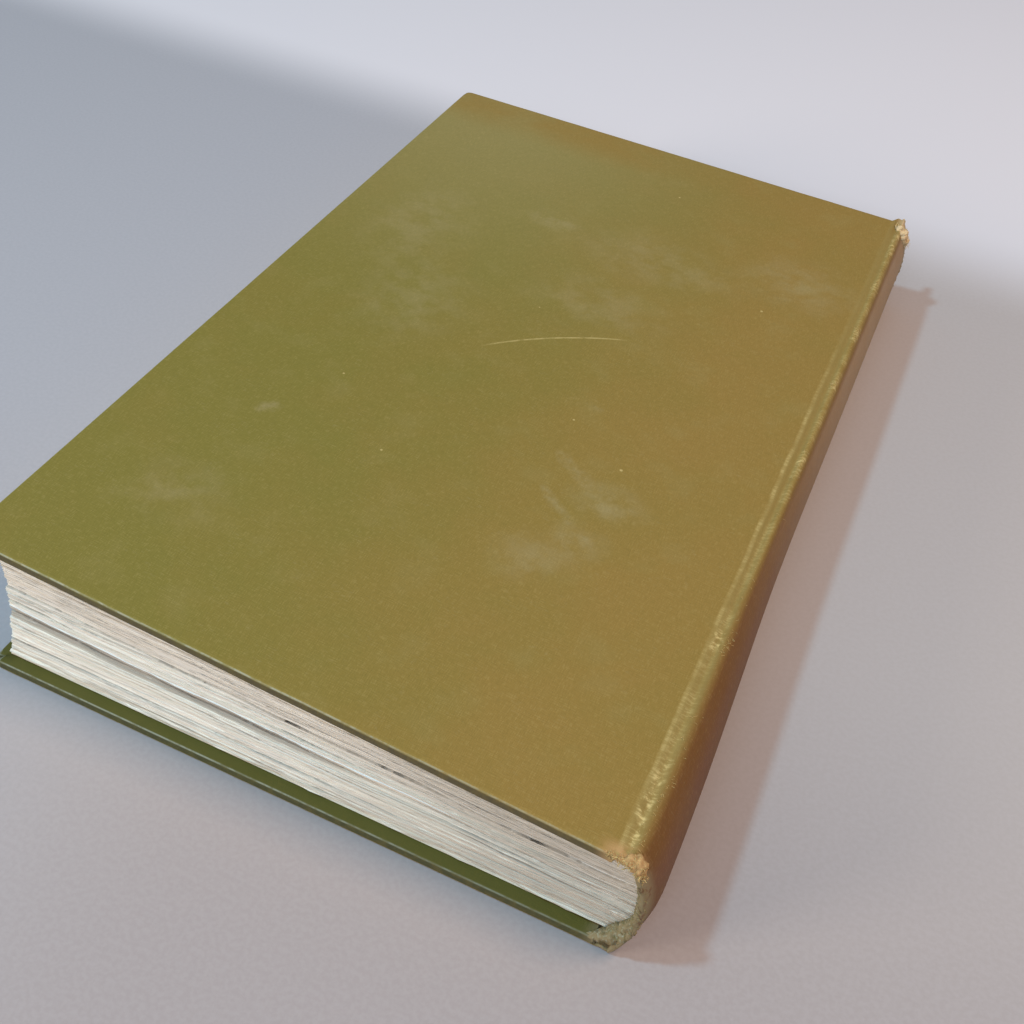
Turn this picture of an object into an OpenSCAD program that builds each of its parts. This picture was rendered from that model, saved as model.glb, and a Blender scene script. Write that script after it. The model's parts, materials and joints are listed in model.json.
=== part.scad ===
// Cloth hardback book lying on its front cover, back cover up, spine at +X, tail at -Y.
// X runs from the fore-edge to the spine, Y from tail to head, Z up from the table.
// The origin is under the middle of the closed book.

/* [Covers] */
// Height of the covers from tail to head
cover_h = 250; // [190:1:320]
// Width of a cover from its fore-edge to the board's spine edge
cover_w = 143.4; // [110:0.1:210]
// Thickness of the closed book at the fore-edge
thick_fore = 40.2; // [32:0.1:60]
// Thickness of the closed book at the joint
thick_joint = 28.5; // [24:0.1:44]
// Thickness of a cover board
board_t = 1.6; // [1.2:0.1:3]
// Thickness of the covering cloth
cloth_t = 0.35; // [0.25:0.05:0.5]
// Width of the cloth turned in over a cover's edges
turn_in = 15; // [8:0.5:22]
// Radius that wear has put on a cover's free corners
corner_r = 2.2; // [1:0.1:6]
// How far the back cover's fore-edge lies inside the front cover's
fore_offset = 0.1; // [0:0.1:3]

/* [Joints and spine] */
// Flat cloth between the front board and its groove
front_flat = 0.1; // [0.1:0.1:3]
// Flat cloth between the back board and its groove
back_flat = 1.2; // [0.1:0.1:3]
// Radius of the groove along each joint
groove_r = 0.9; // [0.7:0.1:1.2]
// Depth of the groove below the cover's face
groove_depth = 0.5; // [0.3:0.1:0.6]
// Radius of the ridge beside the front joint
front_ridge_r = 0.8; // [0.7:0.1:1.2]
// Radius of the ridge beside the back joint
back_ridge_r = 1.2; // [0.9:0.1:1.5]
// How far the ridge beside the back joint stands above the cover
back_ridge_rise = 0.4; // [0:0.1:0.4]
// Radius of the rounded spine, outside the cloth
spine_r = 25.8; // [23:0.1:50]
// Thickness of the card strip inside the spine
inlay_t = 0.5; // [0.3:0.05:0.8]
// Turn between the ridge and each edge of the card strip, in degrees
inlay_margin = 3; // [2:0.5:8]
// Hollow between the case's spine and the lined back of the pages
hollow_gap = 0.25; // [0.2:0.05:1]

/* [Pages] */
// Number of folded gatherings
gatherings = 18; // [8:1:26]
// How far the front cover stands out past the pages at the fore-edge
fore_square = 3; // [2:0.1:10]
// How far the fore-edge leans in from the first leaf to the last
fore_lean = 2.6; // [0:0.1:5]
// How far the covers stand out past the pages at head and tail
end_square = 3; // [1.5:0.1:8]
// How far the middle of the fore-edge sinks in
fore_hollow = 1.8; // [0:0.1:6]
// How far the inner leaves of a gathering creep out at the fore-edge
creep = 0.3; // [0.1:0.05:0.6]
// Unevenness of the gatherings' cut edges
edge_unevenness = 0.35; // [0:0.05:0.6]
// How far the shoulders turn out past the faces of the pages
shoulder = 1; // [0.5:0.1:1.2]
// Height of each fold's rounding on the back of the pages
fold_bulge = 0.25; // [0.1:0.05:0.4]
// Thickness of an endpaper leaf
paper_t = 0.15; // [0.1:0.05:0.3]
// Air between a cover and the leaf that faces it
cover_gap = 0.2; // [0.15:0.05:0.5]
// Bare border between a paste-down and the cover's edges
paste_margin = 3.5; // [2:0.5:7]

/* [Back lining and sewing] */
// Thickness of the open-weave mull
mull_t = 0.2; // [0.1:0.05:0.25]
// Thickness of the paper lining over the mull
lining_t = 0.2; // [0.1:0.05:0.4]
// Width of the mull's flange on a board
flange_w = 25; // [15:1:35]
// How far the mull stops short of the pages' head and tail
mull_short = 17; // [14:1:40]
// How far the paper lining stops short of the pages' head and tail
lining_short = 5; // [2:1:20]
// Diameter of the sewing thread
thread_d = 0.6; // [0.4:0.1:0.8]
// Distance of the kettle stitches from head and tail
kettle_in = 14; // [8:1:30]
// Rows of stitches, with the two kettle rows
stitch_rows = 5; // [3:1:7]

/* [Hidden] */
$fn = 64;
// Layers that are glued together on a curve lie this far apart
glue = 0.05;
// Play between the edge of a board and the shoulder beside it
shoulder_gap = 0.3;
// Half the slit between the cloth of a cover and that of the spine, in degrees about the groove
slit_half = 2;
// Turn by which one round stretch of the spine's cloth runs on into the next, in degrees
lap = 1;
// Steps along the rounding of one fold
fold_steps = 4;
// Half the width of the notch between two gatherings, as a share of a gathering
notch_share = 0.12;
// Turns that spread the unevenness over the gatherings, in degrees each
uneven_turns = [137, 211, 293];

// Levels in a cover, counted inwards from its outer face
board_in = cloth_t + board_t;
rim_in = board_in + cloth_t;
cover_in = rim_in + paper_t;
leaf_in = cover_in + cover_gap;
pages_in = leaf_in + paper_t;

// Each cover's own frame has its origin on the joint's axis, in the middle of the groove
groove_lift = groove_r - groove_depth;
groove_half = leg(groove_r, groove_lift);
front_edge = front_flat + groove_half;
back_edge = back_flat + groove_half;
cover_tilt = asin((thick_fore - thick_joint) / (cover_w + back_edge));
front_axis = [cover_w + front_edge, -groove_lift];
back_axis = [
    fore_offset + (cover_w + back_edge) * cos(cover_tilt) + (groove_lift + rim_in) * sin(cover_tilt),
    thick_joint + groove_lift
];

// The ridges touch the grooves, and the rounded spine touches both ridges
front_ridge = [
    front_axis[0] + leg(front_ridge_r + groove_r, front_ridge_r + groove_lift),
    front_ridge_r
];
back_ridge_z = thick_joint + back_ridge_rise - back_ridge_r;
back_ridge = [
    back_axis[0] + leg(back_ridge_r + groove_r, back_axis[1] - back_ridge_z),
    back_ridge_z
];
spine_c = left_crossing(front_ridge, spine_r - front_ridge_r, back_ridge, spine_r - back_ridge_r);
front_turn = heading(front_axis, front_ridge);
back_turn = heading(back_axis, back_ridge);
spine_a0 = heading(spine_c, front_ridge);
spine_a1 = heading(spine_c, back_ridge);
overall_w = spine_c[0] + spine_r;

// Layers of the spine, from the cloth in to the folds
inlay_r = spine_r - cloth_t - glue;
turned_r = inlay_r - inlay_t - glue;
lining_r = turned_r - cloth_t - hollow_gap;
mull_r = lining_r - lining_t - glue;
pages_r = mull_r - mull_t - glue;

// Pages
pages_h = cover_h - 2 * end_square;
pages_lift = groove_lift + pages_in;
front_start = [cover_w + shoulder_gap, pages_in];
back_start = back_point(-back_edge, pages_lift) + [shoulder_gap, -shoulder_gap * tan(cover_tilt)];
pages_a0 = asin((front_start[1] - shoulder - spine_c[1]) / pages_r);
pages_a1 = asin((back_start[1] + shoulder - spine_c[1]) / pages_r);
mull_half = pages_h / 2 - mull_short;
kettle_y = pages_h / 2 - kettle_in;

// The other leg of a right triangle
function leg(long, short) = sqrt(max(long * long - short * short, 0));

// Direction from one point to another, in degrees
function heading(from, to) = atan2(to[1] - from[1], to[0] - from[0]);

// The point at distance da from a and db from b that lies on the fore-edge side
function left_crossing(a, da, b, db) =
    let (gap = norm(b - a), u = (b - a) / gap, along = (da * da - db * db + gap * gap) / (2 * gap))
    a + along * u + leg(da, along) * [-u[1], u[0]];

// A point of the back cover's own frame, in the book's section
function back_point(x, inward) = back_axis + [
    x * cos(cover_tilt) - inward * sin(cover_tilt),
    -x * sin(cover_tilt) - inward * cos(cover_tilt)
];

// A point on the rounded back of the pages
function on_back(angle, r) = spine_c + r * [cos(angle), sin(angle)];

// Height of the boundary below gathering k at x, between the covers
function boundary_z(k, x) =
    let (top = back_start[1] - (x - back_start[0]) * tan(cover_tilt))
    front_start[1] + (top - front_start[1]) * k / gatherings;

// Where the boundary below gathering k starts to turn towards the rounded back
function boundary_start(k) =
    let (x = front_start[0] + (back_start[0] - front_start[0]) * k / gatherings) [x, boundary_z(k, x)];

function boundary_angle(k) = pages_a0 + (pages_a1 - pages_a0) * k / gatherings;

// A steady unevenness from -1 to 1 for each gathering
function uneven(k, i) = sin(k * uneven_turns[i] + i * 40);

function fore_x(k) =
    let (share = (k + 0.5) / gatherings)
    fore_square + fore_lean * share + fore_hollow * sin(180 * share) + edge_unevenness * uneven(k, 0);

// The notch in the fore-edge below gathering k, behind both its neighbours
function notch(k) =
    let (x = creep + max(fore_x(max(k - 1, 0)), fore_x(min(k, gatherings - 1)))) [x, boundary_z(k, x)];

// Section of one folded gathering, from its fore-edge to its fold
function gathering_section(k) =
    let (
        x = fore_x(k),
        a0 = boundary_angle(k),
        a1 = boundary_angle(k + 1),
        fold = [for (i = [0:fold_steps])
            on_back(a0 + (a1 - a0) * i / fold_steps,
                    pages_r - fold_bulge + fold_bulge * sin(180 * i / fold_steps))]
    )
    concat(
        [notch(k), boundary_start(k)],
        fold,
        [boundary_start(k + 1), notch(k + 1)],
        [for (share = [1 - notch_share, 0.5, notch_share])
            let (edge_x = x - (share == 0.5 ? creep : 0)) [edge_x, boundary_z(k + share, edge_x)]]
    );

module in_frame() {
    translate([-overall_w / 2, 0, 0]) children();
}

// A section in X and Z drawn out along Y, about the middle of the book
module along_y(y0, y1) {
    translate([0, y1, 0]) rotate([90, 0, 0]) linear_extrude(y1 - y0) children();
}

module place_front() {
    in_frame() translate([front_axis[0], 0, front_axis[1]]) children();
}

module place_back() {
    in_frame() translate([back_axis[0], 0, back_axis[1]]) rotate([0, cover_tilt, 0])
        mirror([0, 0, 1]) children();
}

// Part of a ring from angle a0 to a1
module ring_part(r_in, r_out, a0, a1) {
    reach = 2 * r_out;
    intersection() {
        difference() {
            circle(r_out);
            circle(r_in);
        }
        polygon(concat([[0, 0]], [for (i = [0:4]) let (a = a0 + (a1 - a0) * i / 4) reach * [cos(a), sin(a)]]));
    }
}

// A layer of the spine, a ring part about the middle of its curve
module spine_layer(r_out, t, margin, y0, y1) {
    in_frame() translate([spine_c[0], 0, spine_c[1]]) along_y(y0, y1)
        ring_part(r_out - t, r_out, spine_a0 + margin, spine_a1 - margin);
}

// Plan of a cover drawn in by inset, ending at x = right on the spine side
module cover_plan(edge, inset, right) {
    left = inset - cover_w - edge;
    half = cover_h / 2 - inset;
    r = max(corner_r - inset, cloth_t);
    translate([left + r, -half]) square([right - left - r, 2 * half]);
    translate([left, r - half]) square([2 * r, 2 * (half - r)]);
    for (side = [-1, 1])
        translate([left + r, side * (half - r)]) circle(r);
}

// Plan of a mull flange, grown by room
module flange_plan(edge, room) {
    translate([-edge - flange_w - room, -mull_half - room]) square([flange_w + room, 2 * (mull_half + room)]);
}

// A plan raised to a level of the cover
module layer(level, t) {
    translate([0, 0, groove_lift + level]) linear_extrude(t) children();
}

module board(edge) {
    layer(cloth_t, board_t) cover_plan(edge, cloth_t, -edge);
}

module mull_flange(edge) {
    layer(board_in, mull_t) flange_plan(edge, 0);
}

// Cloth over a cover's outer face, its three free edges and into the groove
module cover_cloth(edge, tilt) {
    sheet_end = groove_half + min((edge - groove_half) / 2, cloth_t / 5);
    layer(0, cloth_t) cover_plan(edge, 0, -sheet_end);
    layer(0, rim_in) difference() {
        cover_plan(edge, 0, -edge);
        cover_plan(edge, cloth_t, 0);
    }
    layer(board_in, cloth_t) difference() {
        cover_plan(edge, 0, -edge);
        cover_plan(edge, turn_in, 0);
    }
    along_y(-cover_h / 2, cover_h / 2) intersection() {
        ring_part(groove_r, groove_r + cloth_t, 90 + slit_half - tilt, 180);
        translate([-edge, groove_lift]) square([2 * edge, 2 * groove_r]);
    }
}

// Paper pasted over the board, the mull flange and the turned-in cloth
module pastedown(edge) {
    difference() {
        layer(board_in, cloth_t + paper_t) translate([paste_margin - cover_w - edge, paste_margin - cover_h / 2])
            square([cover_w - paste_margin, cover_h - 2 * paste_margin]);
        layer(0, rim_in) difference() {
            cover_plan(edge, -1, 1);
            cover_plan(edge, turn_in, 2);
        }
        layer(0, board_in + mull_t) flange_plan(edge, 0);
        layer(board_in + paper_t, rim_in) difference() {
            cover_plan(edge, turn_in + paper_t, 1);
            flange_plan(edge, paper_t);
        }
        layer(board_in + mull_t + paper_t, rim_in) cover_plan(edge, turn_in + paper_t, 1);
    }
}

module front_board() {
    color([0.62, 0.55, 0.42]) place_front() board(front_edge);
}

module back_board() {
    color([0.62, 0.55, 0.42]) place_back() board(back_edge);
}

module front_cover_cloth() {
    color([0.53, 0.47, 0.26]) place_front() cover_cloth(front_edge, 0);
}

module back_cover_cloth() {
    color([0.53, 0.47, 0.26]) place_back() cover_cloth(back_edge, cover_tilt);
}

module front_mull_flange() {
    color([0.86, 0.83, 0.74]) place_front() mull_flange(front_edge);
}

module back_mull_flange() {
    color([0.86, 0.83, 0.74]) place_back() mull_flange(back_edge);
}

module front_pastedown() {
    color([0.87, 0.84, 0.76]) place_front() pastedown(front_edge);
}

module back_pastedown() {
    color([0.87, 0.84, 0.76]) place_back() pastedown(back_edge);
}

// A leaf on the face of the pages, from the fore-edge to the shoulder
module flyleaf(edge, short) {
    layer(leaf_in, paper_t) translate([short - cover_w - edge, -pages_h / 2])
        square([cover_w - short, pages_h]);
}

module front_flyleaf() {
    color([0.88, 0.85, 0.78]) place_front() flyleaf(front_edge, fore_square);
}

module back_flyleaf() {
    color([0.88, 0.85, 0.78]) place_back() flyleaf(back_edge, fore_square + fore_lean);
}

// Rows where the sewing crosses the back, the kettle rows first and last
function row_y(i) = -kettle_y + 2 * kettle_y * i / (stitch_rows - 1);

// A ring part about the spine's middle line, turned to lie across the back
module across_back(y) {
    span = pages_a1 - pages_a0;
    translate([spine_c[0], y, spine_c[1]]) rotate([-90, 0, 0]) rotate([0, 0, -pages_a1])
        rotate_extrude(angle = span) children();
}

// Folded gatherings, fanned out from the narrow back, with sawn kerfs for the sewing
module text_block() {
    color([0.87, 0.84, 0.77]) in_frame() difference() {
        union() {
            for (k = [0:gatherings - 1])
                along_y(edge_unevenness * uneven(k, 1) - pages_h / 2, pages_h / 2 + edge_unevenness * uneven(k, 2))
                    polygon(gathering_section(k));
        }
        for (i = [0:stitch_rows - 1])
            across_back(row_y(i)) translate([pages_r - fold_bulge - thread_d, -thread_d])
                square([thread_d + 2 * fold_bulge, 2 * thread_d]);
    }
}

// Stitches lying in the kerfs, across all the folds
module sewing_thread() {
    color([0.9, 0.88, 0.8]) in_frame()
        for (i = [0:stitch_rows - 1])
            across_back(row_y(i)) translate([pages_r - fold_bulge - thread_d / 2, 0]) circle(d = thread_d);
}

module mull() {
    color([0.86, 0.83, 0.74]) spine_layer(mull_r, mull_t, inlay_margin, -mull_half, mull_half);
}

module spine_lining() {
    half = pages_h / 2 - lining_short;
    color([0.74, 0.64, 0.48]) spine_layer(lining_r, lining_t, inlay_margin, -half, half);
}

module spine_inlay() {
    half = cover_h / 2 - cloth_t;
    color([0.6, 0.52, 0.4]) spine_layer(inlay_r, inlay_t, inlay_margin, -half, half);
}

// Cloth round the spine, from groove to groove, turned in at head and tail
module spine_cloth() {
    half = cover_h / 2;
    color([0.49, 0.35, 0.22]) {
        in_frame() along_y(-half, half) {
            translate(front_axis) ring_part(groove_r, groove_r + cloth_t, front_turn, 90 - slit_half);
            translate(front_ridge)
                ring_part(front_ridge_r - cloth_t, front_ridge_r, front_turn - 180 - lap, spine_a0 + lap);
            translate(spine_c) ring_part(spine_r - cloth_t, spine_r, spine_a0, spine_a1);
            translate(back_ridge)
                ring_part(back_ridge_r - cloth_t, back_ridge_r, spine_a1 - lap, back_turn + 180 + lap);
            translate(back_axis) ring_part(groove_r, groove_r + cloth_t, slit_half - 90, back_turn);
        }
        for (end = [-1, 1]) {
            low = end < 0 ? -half : half - turn_in;
            fold = end < 0 ? -half : half - cloth_t;
            spine_layer(turned_r, cloth_t, inlay_margin + lap, low, low + turn_in);
            spine_layer(spine_r - cloth_t / 2, spine_r - turned_r, inlay_margin, fold, fold + cloth_t);
        }
    }
}

front_board();
front_cover_cloth();
front_mull_flange();
front_pastedown();
front_flyleaf();
text_block();
sewing_thread();
mull();
spine_lining();
spine_inlay();
spine_cloth();
back_flyleaf();
back_pastedown();
back_mull_flange();
back_cover_cloth();
back_board();
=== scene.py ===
"""Cloth hardback book, lying closed on its front cover: case cloth, leaves, endpapers and fraying."""
import json
import math
import random

import bmesh
import bpy
from bpy.props import FloatProperty, FloatVectorProperty, IntProperty, PointerProperty
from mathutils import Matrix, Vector, noise


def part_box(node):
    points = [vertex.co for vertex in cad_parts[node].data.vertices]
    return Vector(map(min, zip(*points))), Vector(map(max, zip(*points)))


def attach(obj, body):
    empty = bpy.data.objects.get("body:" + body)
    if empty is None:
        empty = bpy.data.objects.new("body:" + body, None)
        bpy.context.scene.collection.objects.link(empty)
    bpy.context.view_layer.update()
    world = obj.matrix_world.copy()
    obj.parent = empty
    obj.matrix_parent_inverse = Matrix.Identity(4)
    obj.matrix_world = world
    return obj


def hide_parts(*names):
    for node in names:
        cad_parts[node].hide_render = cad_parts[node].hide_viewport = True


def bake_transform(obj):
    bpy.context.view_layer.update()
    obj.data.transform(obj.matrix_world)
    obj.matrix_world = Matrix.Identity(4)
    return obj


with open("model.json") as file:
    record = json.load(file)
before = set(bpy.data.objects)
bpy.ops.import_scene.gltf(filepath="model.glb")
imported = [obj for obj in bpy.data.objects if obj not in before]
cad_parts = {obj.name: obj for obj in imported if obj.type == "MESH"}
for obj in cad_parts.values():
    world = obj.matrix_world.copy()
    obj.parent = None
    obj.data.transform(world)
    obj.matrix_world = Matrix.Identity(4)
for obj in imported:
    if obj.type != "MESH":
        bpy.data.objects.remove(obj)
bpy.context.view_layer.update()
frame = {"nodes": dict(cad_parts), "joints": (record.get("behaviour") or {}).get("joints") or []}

bl_info = {
    "name": "Cloth hardback book",
    "version": (1, 0, 0),
    "blender": (4, 5, 0),
    "location": "3D View > Sidebar > Book",
    "description": "Builds the worn cloth case, the leaves and the stage of an old hardback book",
    "category": "Object",
}

MM = 0.001


def srgb(red, green, blue):
    """A colour given as on a screen, from 0 to 255, as the linear values that Blender uses."""

    def linear(value):
        level = value / 255
        return level / 12.92 if level <= 0.04045 else ((level + 0.055) / 1.055) ** 2.4

    return linear(red), linear(green), linear(blue)


def length(name, description, default):
    """A size in millimetres, kept in metres."""
    return FloatProperty(name=name, description=description, default=default * MM, unit="LENGTH", precision=5)


def colour(name, description, default):
    return FloatVectorProperty(
        name=name, description=description, default=default, size=3, min=0, max=1, subtype="COLOR"
    )


def share(name, description, default, low=0.0, high=1.0):
    return FloatProperty(
        name=name, description=description, default=default, min=low, max=high, subtype="FACTOR"
    )


def count(name, description, default, low, high):
    return IntProperty(name=name, description=description, default=default, min=low, max=high)


def watts(name, description, default):
    return FloatProperty(name=name, description=description, default=default, min=0, unit="POWER")


def direction(name, description, default):
    return FloatVectorProperty(
        name=name, description=description, default=default, size=3, subtype="DIRECTION"
    )


class CaseSizes(bpy.types.PropertyGroup):
    """Sizes of the boards, the covering cloth and the rounded spine."""

    cloth_t: length("Cloth", "Thickness of the covering cloth", 0.35)
    board_t: length("Board", "Thickness of a cover board", 1.6)
    turn_in: length("Turn-in", "Width of the cloth turned in over an edge", 15)
    corner_r: length("Corner", "Radius that wear has put on a cover's free corners", 2.2)
    fold_r: length("Fold", "Radius of the cloth where it turns over an edge", 0.45)
    groove_r: length("Groove", "Radius of the groove along each joint", 0.9)
    groove_depth: length("Groove depth", "Depth of the groove below the cover's face", 0.5)
    front_flat: length("Front flat", "Flat cloth between the front board and its groove", 0.1)
    back_flat: length("Back flat", "Flat cloth between the back board and its groove", 1.2)
    front_ridge_r: length("Front ridge", "Radius of the ridge beside the front joint", 0.8)
    back_ridge_r: length("Back ridge", "Radius of the ridge beside the back joint", 1.2)
    back_ridge_rise: length("Ridge rise", "Height of the back ridge above the cover", 0.4)
    spine_r: length("Spine", "Radius of the rounded spine, outside the cloth", 25.8)
    spine_fold_t: length("Spine fold", "Thickness of the spine where cloth is turned in over the card", 1.3)
    joint_fold_t: length("Joint fold", "Thickness of the turned-in cloth at a joint", 0.76)
    groove_fill: length("Groove wear", "How far wear has flattened the back groove at its head", 0.4)
    softness: length("Softness", "Reach over which the cloth rounds off each bend", 0.4)
    waviness: length("Waviness", "Rise and fall of a worn cover's surface", 0.12)
    spine_sink: share("Spine sink", "How much flatter the spine lies at its middle than at its tail", 0.255)
    head_sink: share("Head sink", "How much flatter again it lies at its head", 0.03)
    head_droop: length("Head droop", "How far the worn back ridge drops at its head end", 1.2)
    head_wear: length("Head wear", "How much of the back ridge is worn away at its head end", 3.6)
    tail_swell: share("Tail swell", "How much fuller the spine stands a little way in from its tail", 0.11)
    end_tuck: share("End tuck", "How much the spine's very end is pressed in at the tail", 0.16)


class PageSizes(bpy.types.PropertyGroup):
    """Sizes of the leaves and endpapers."""

    gatherings: count("Gatherings", "Number of folded gatherings", 18, 8, 26)
    leaves: count("Leaves", "Leaves drawn for each gathering", 8, 4, 12)
    end_square: length("End square", "How far the covers stand out at head and tail", 3)
    fore_square: length("Fore-edge square", "How far the front cover stands out at the fore-edge", 3)
    fore_lean: length("Fore-edge lean", "How far the fore-edge leans in from the first leaf to the last", 2.6)
    fore_hollow: length("Hollow", "How far the middle of the fore-edge sinks in", 1.8)
    creep: length("Creep", "How far a gathering's inner leaves stand out at the fore-edge", 0.3)
    shoulder: length("Shoulder", "How far the shoulders turn out past the faces of the pages", 1)
    shoulder_gap: length("Shoulder gap", "Play between a board and the shoulder beside it", 0.3)
    fold_bulge: length("Fold", "Height of each fold's rounding on the back", 0.25)
    paper_t: length("Endpaper", "Thickness of an endpaper leaf", 0.15)
    cover_gap: length("Cover gap", "Air between a cover and the leaf that faces it", 0.2)
    back_layers: length("Back layers", "Depth of the folds' crests below the spine's outer face", 2.05)
    thread_d: length("Thread", "Diameter of the sewing thread", 0.6)
    kettle_in: length("Kettle stitch", "Distance of the kettle stitches from head and tail", 14)
    stitch_rows: count("Rows", "Rows of stitches", 5, 3, 7)
    gathering_offset: length("Gathering offset", "Unevenness of the gatherings' trimmed edges", 0.3)
    leaf_offset: length("Leaf offset", "Unevenness of the single leaves in a gathering", 0.12)
    raggedness: length("Raggedness", "Roughness along one leaf's edge", 0.14)
    leaf_wave: length("Leaf wave", "Rise and fall of the leaves towards their edges", 0.7)
    crevice: length("Crevice", "Opening between two gatherings at their edges", 0.5)
    crevice_reach: length("Crevice reach", "How far in from the edges the gatherings lie apart", 5)
    inlay_t: length("Card", "Thickness of the card strip inside the spine", 0.5)
    lining_t: length("Lining", "Thickness of the paper lining on the back", 0.2)
    mull_t: length("Mull", "Thickness of the open-weave mull", 0.2)
    glue: length("Glue", "Play between layers glued on a curve", 0.05)
    lining_short: length("Lining short", "How far the lining stops short of the pages' ends", 5)
    mull_short: length("Mull short", "How far the mull stops short of the pages' ends", 17)


class ClothColours(bpy.types.PropertyGroup):
    """Colours of the book cloth and its wear."""

    olive: colour("Olive", "Cloth towards the fore-edge", srgb(126, 116, 49))
    golden: colour("Golden", "Cloth towards the spine", srgb(145, 118, 56))
    greyed: colour("Greyed", "Dust-bloomed cloth towards the head", srgb(150, 137, 86))
    fresh: colour("Fresh", "Cloth on the inside that light never faded", srgb(96, 90, 36))
    browned: colour("Browned", "Faded brown cloth of the spine", srgb(122, 83, 38))
    # Painted shade: the purple-brown of the spine's outer side, where it turns away from the light
    shaded_spine_tint: colour("Reddened", "Faded cloth on the outside of the spine", srgb(122, 85, 63))
    dulled: colour("Dulled", "Greyed cloth of the spine towards the head", srgb(166, 139, 108))
    # Dust, and painted light: lighter than the cloth beside it to offset the shade in the groove
    groove: colour("Groove", "Dusty cloth in the joint's groove", srgb(150, 131, 78))
    # Painted shade: the dark, patchy band on the upper board's edge face, which lies in shade
    edge_shade: colour("Grime", "Handled edges of the upper board", srgb(90, 80, 56))
    shaded: colour("Shaded", "Edges of the lower board", srgb(72, 72, 46))
    rubbed: colour("Rubbed", "Threads bared by rubbing", srgb(214, 192, 130))
    frayed: colour("Frayed", "Torn threads at the spine's tail", srgb(192, 152, 102))
    bleached: colour("Bleached", "Torn threads at the spine's head", srgb(224, 196, 154))
    ring: colour("Ring", "Frayed cloth round the spine's ends", srgb(146, 128, 94))
    worn_edge: colour("Worn edge", "Bared rims of the boards", srgb(174, 174, 152))
    bloom: colour("Bloom", "Scuffs on the cover", srgb(160, 146, 104))


class PaperColours(bpy.types.PropertyGroup):
    """Colours of the leaves, endpapers and hidden layers."""

    cream: colour("Cream", "Cleaner leaves", srgb(252, 245, 232))
    # Age tone, also used as painted shade towards the spine on the leaves' ends
    age_tone_and_shade: colour("Toned", "Age-toned leaves", srgb(228, 216, 197))
    # Dust on the leaves and the board, also used as painted shade on the leaves' ends
    dust_and_shade: colour("Dusty", "Dusty, greyed edges", srgb(166, 158, 146))
    bright: colour("Bright", "Two whiter leaves", srgb(244, 245, 243))
    endpaper: colour("Endpaper", "Paste-downs and fly-leaves", srgb(232, 222, 202))
    board: colour("Board", "Binder's board", srgb(158, 138, 108))
    mull: colour("Mull", "Open-weave cotton", srgb(220, 212, 190))
    lining: colour("Lining", "Brown lining paper", srgb(190, 164, 124))
    thread: colour("Thread", "Linen sewing thread", srgb(230, 224, 206))


class WearSettings(bpy.types.PropertyGroup):
    """Amounts of fraying."""

    cap_fibres: count("Cap fibres", "Fibres on each clump at the back ridge's ends", 420, 0, 2000)
    cap_tufts: count("Cap tufts", "Torn threads on each of those clumps", 16, 0, 100)
    ring_fibres: count("Ring fibres", "Fibres round each end of the spine", 520, 0, 2000)
    ridge_fibres: count("Ridge fibres", "Short fibres along the back ridge", 260, 0, 2000)
    tuft_d: length("Tuft", "Diameter of a torn thread", 0.22)
    fibre_d: length("Fibre", "Diameter of one frayed fibre", 0.1)
    fibre_length: length("Fibre length", "Length of the longest fibres", 1.1)
    lump: share("Lumps", "How lumpy the rolls of frayed cloth are", 0.45)
    cap_raggedness: length("Ragged cap", "How unevenly the cloth ends at head and tail", 0.7)


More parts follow.
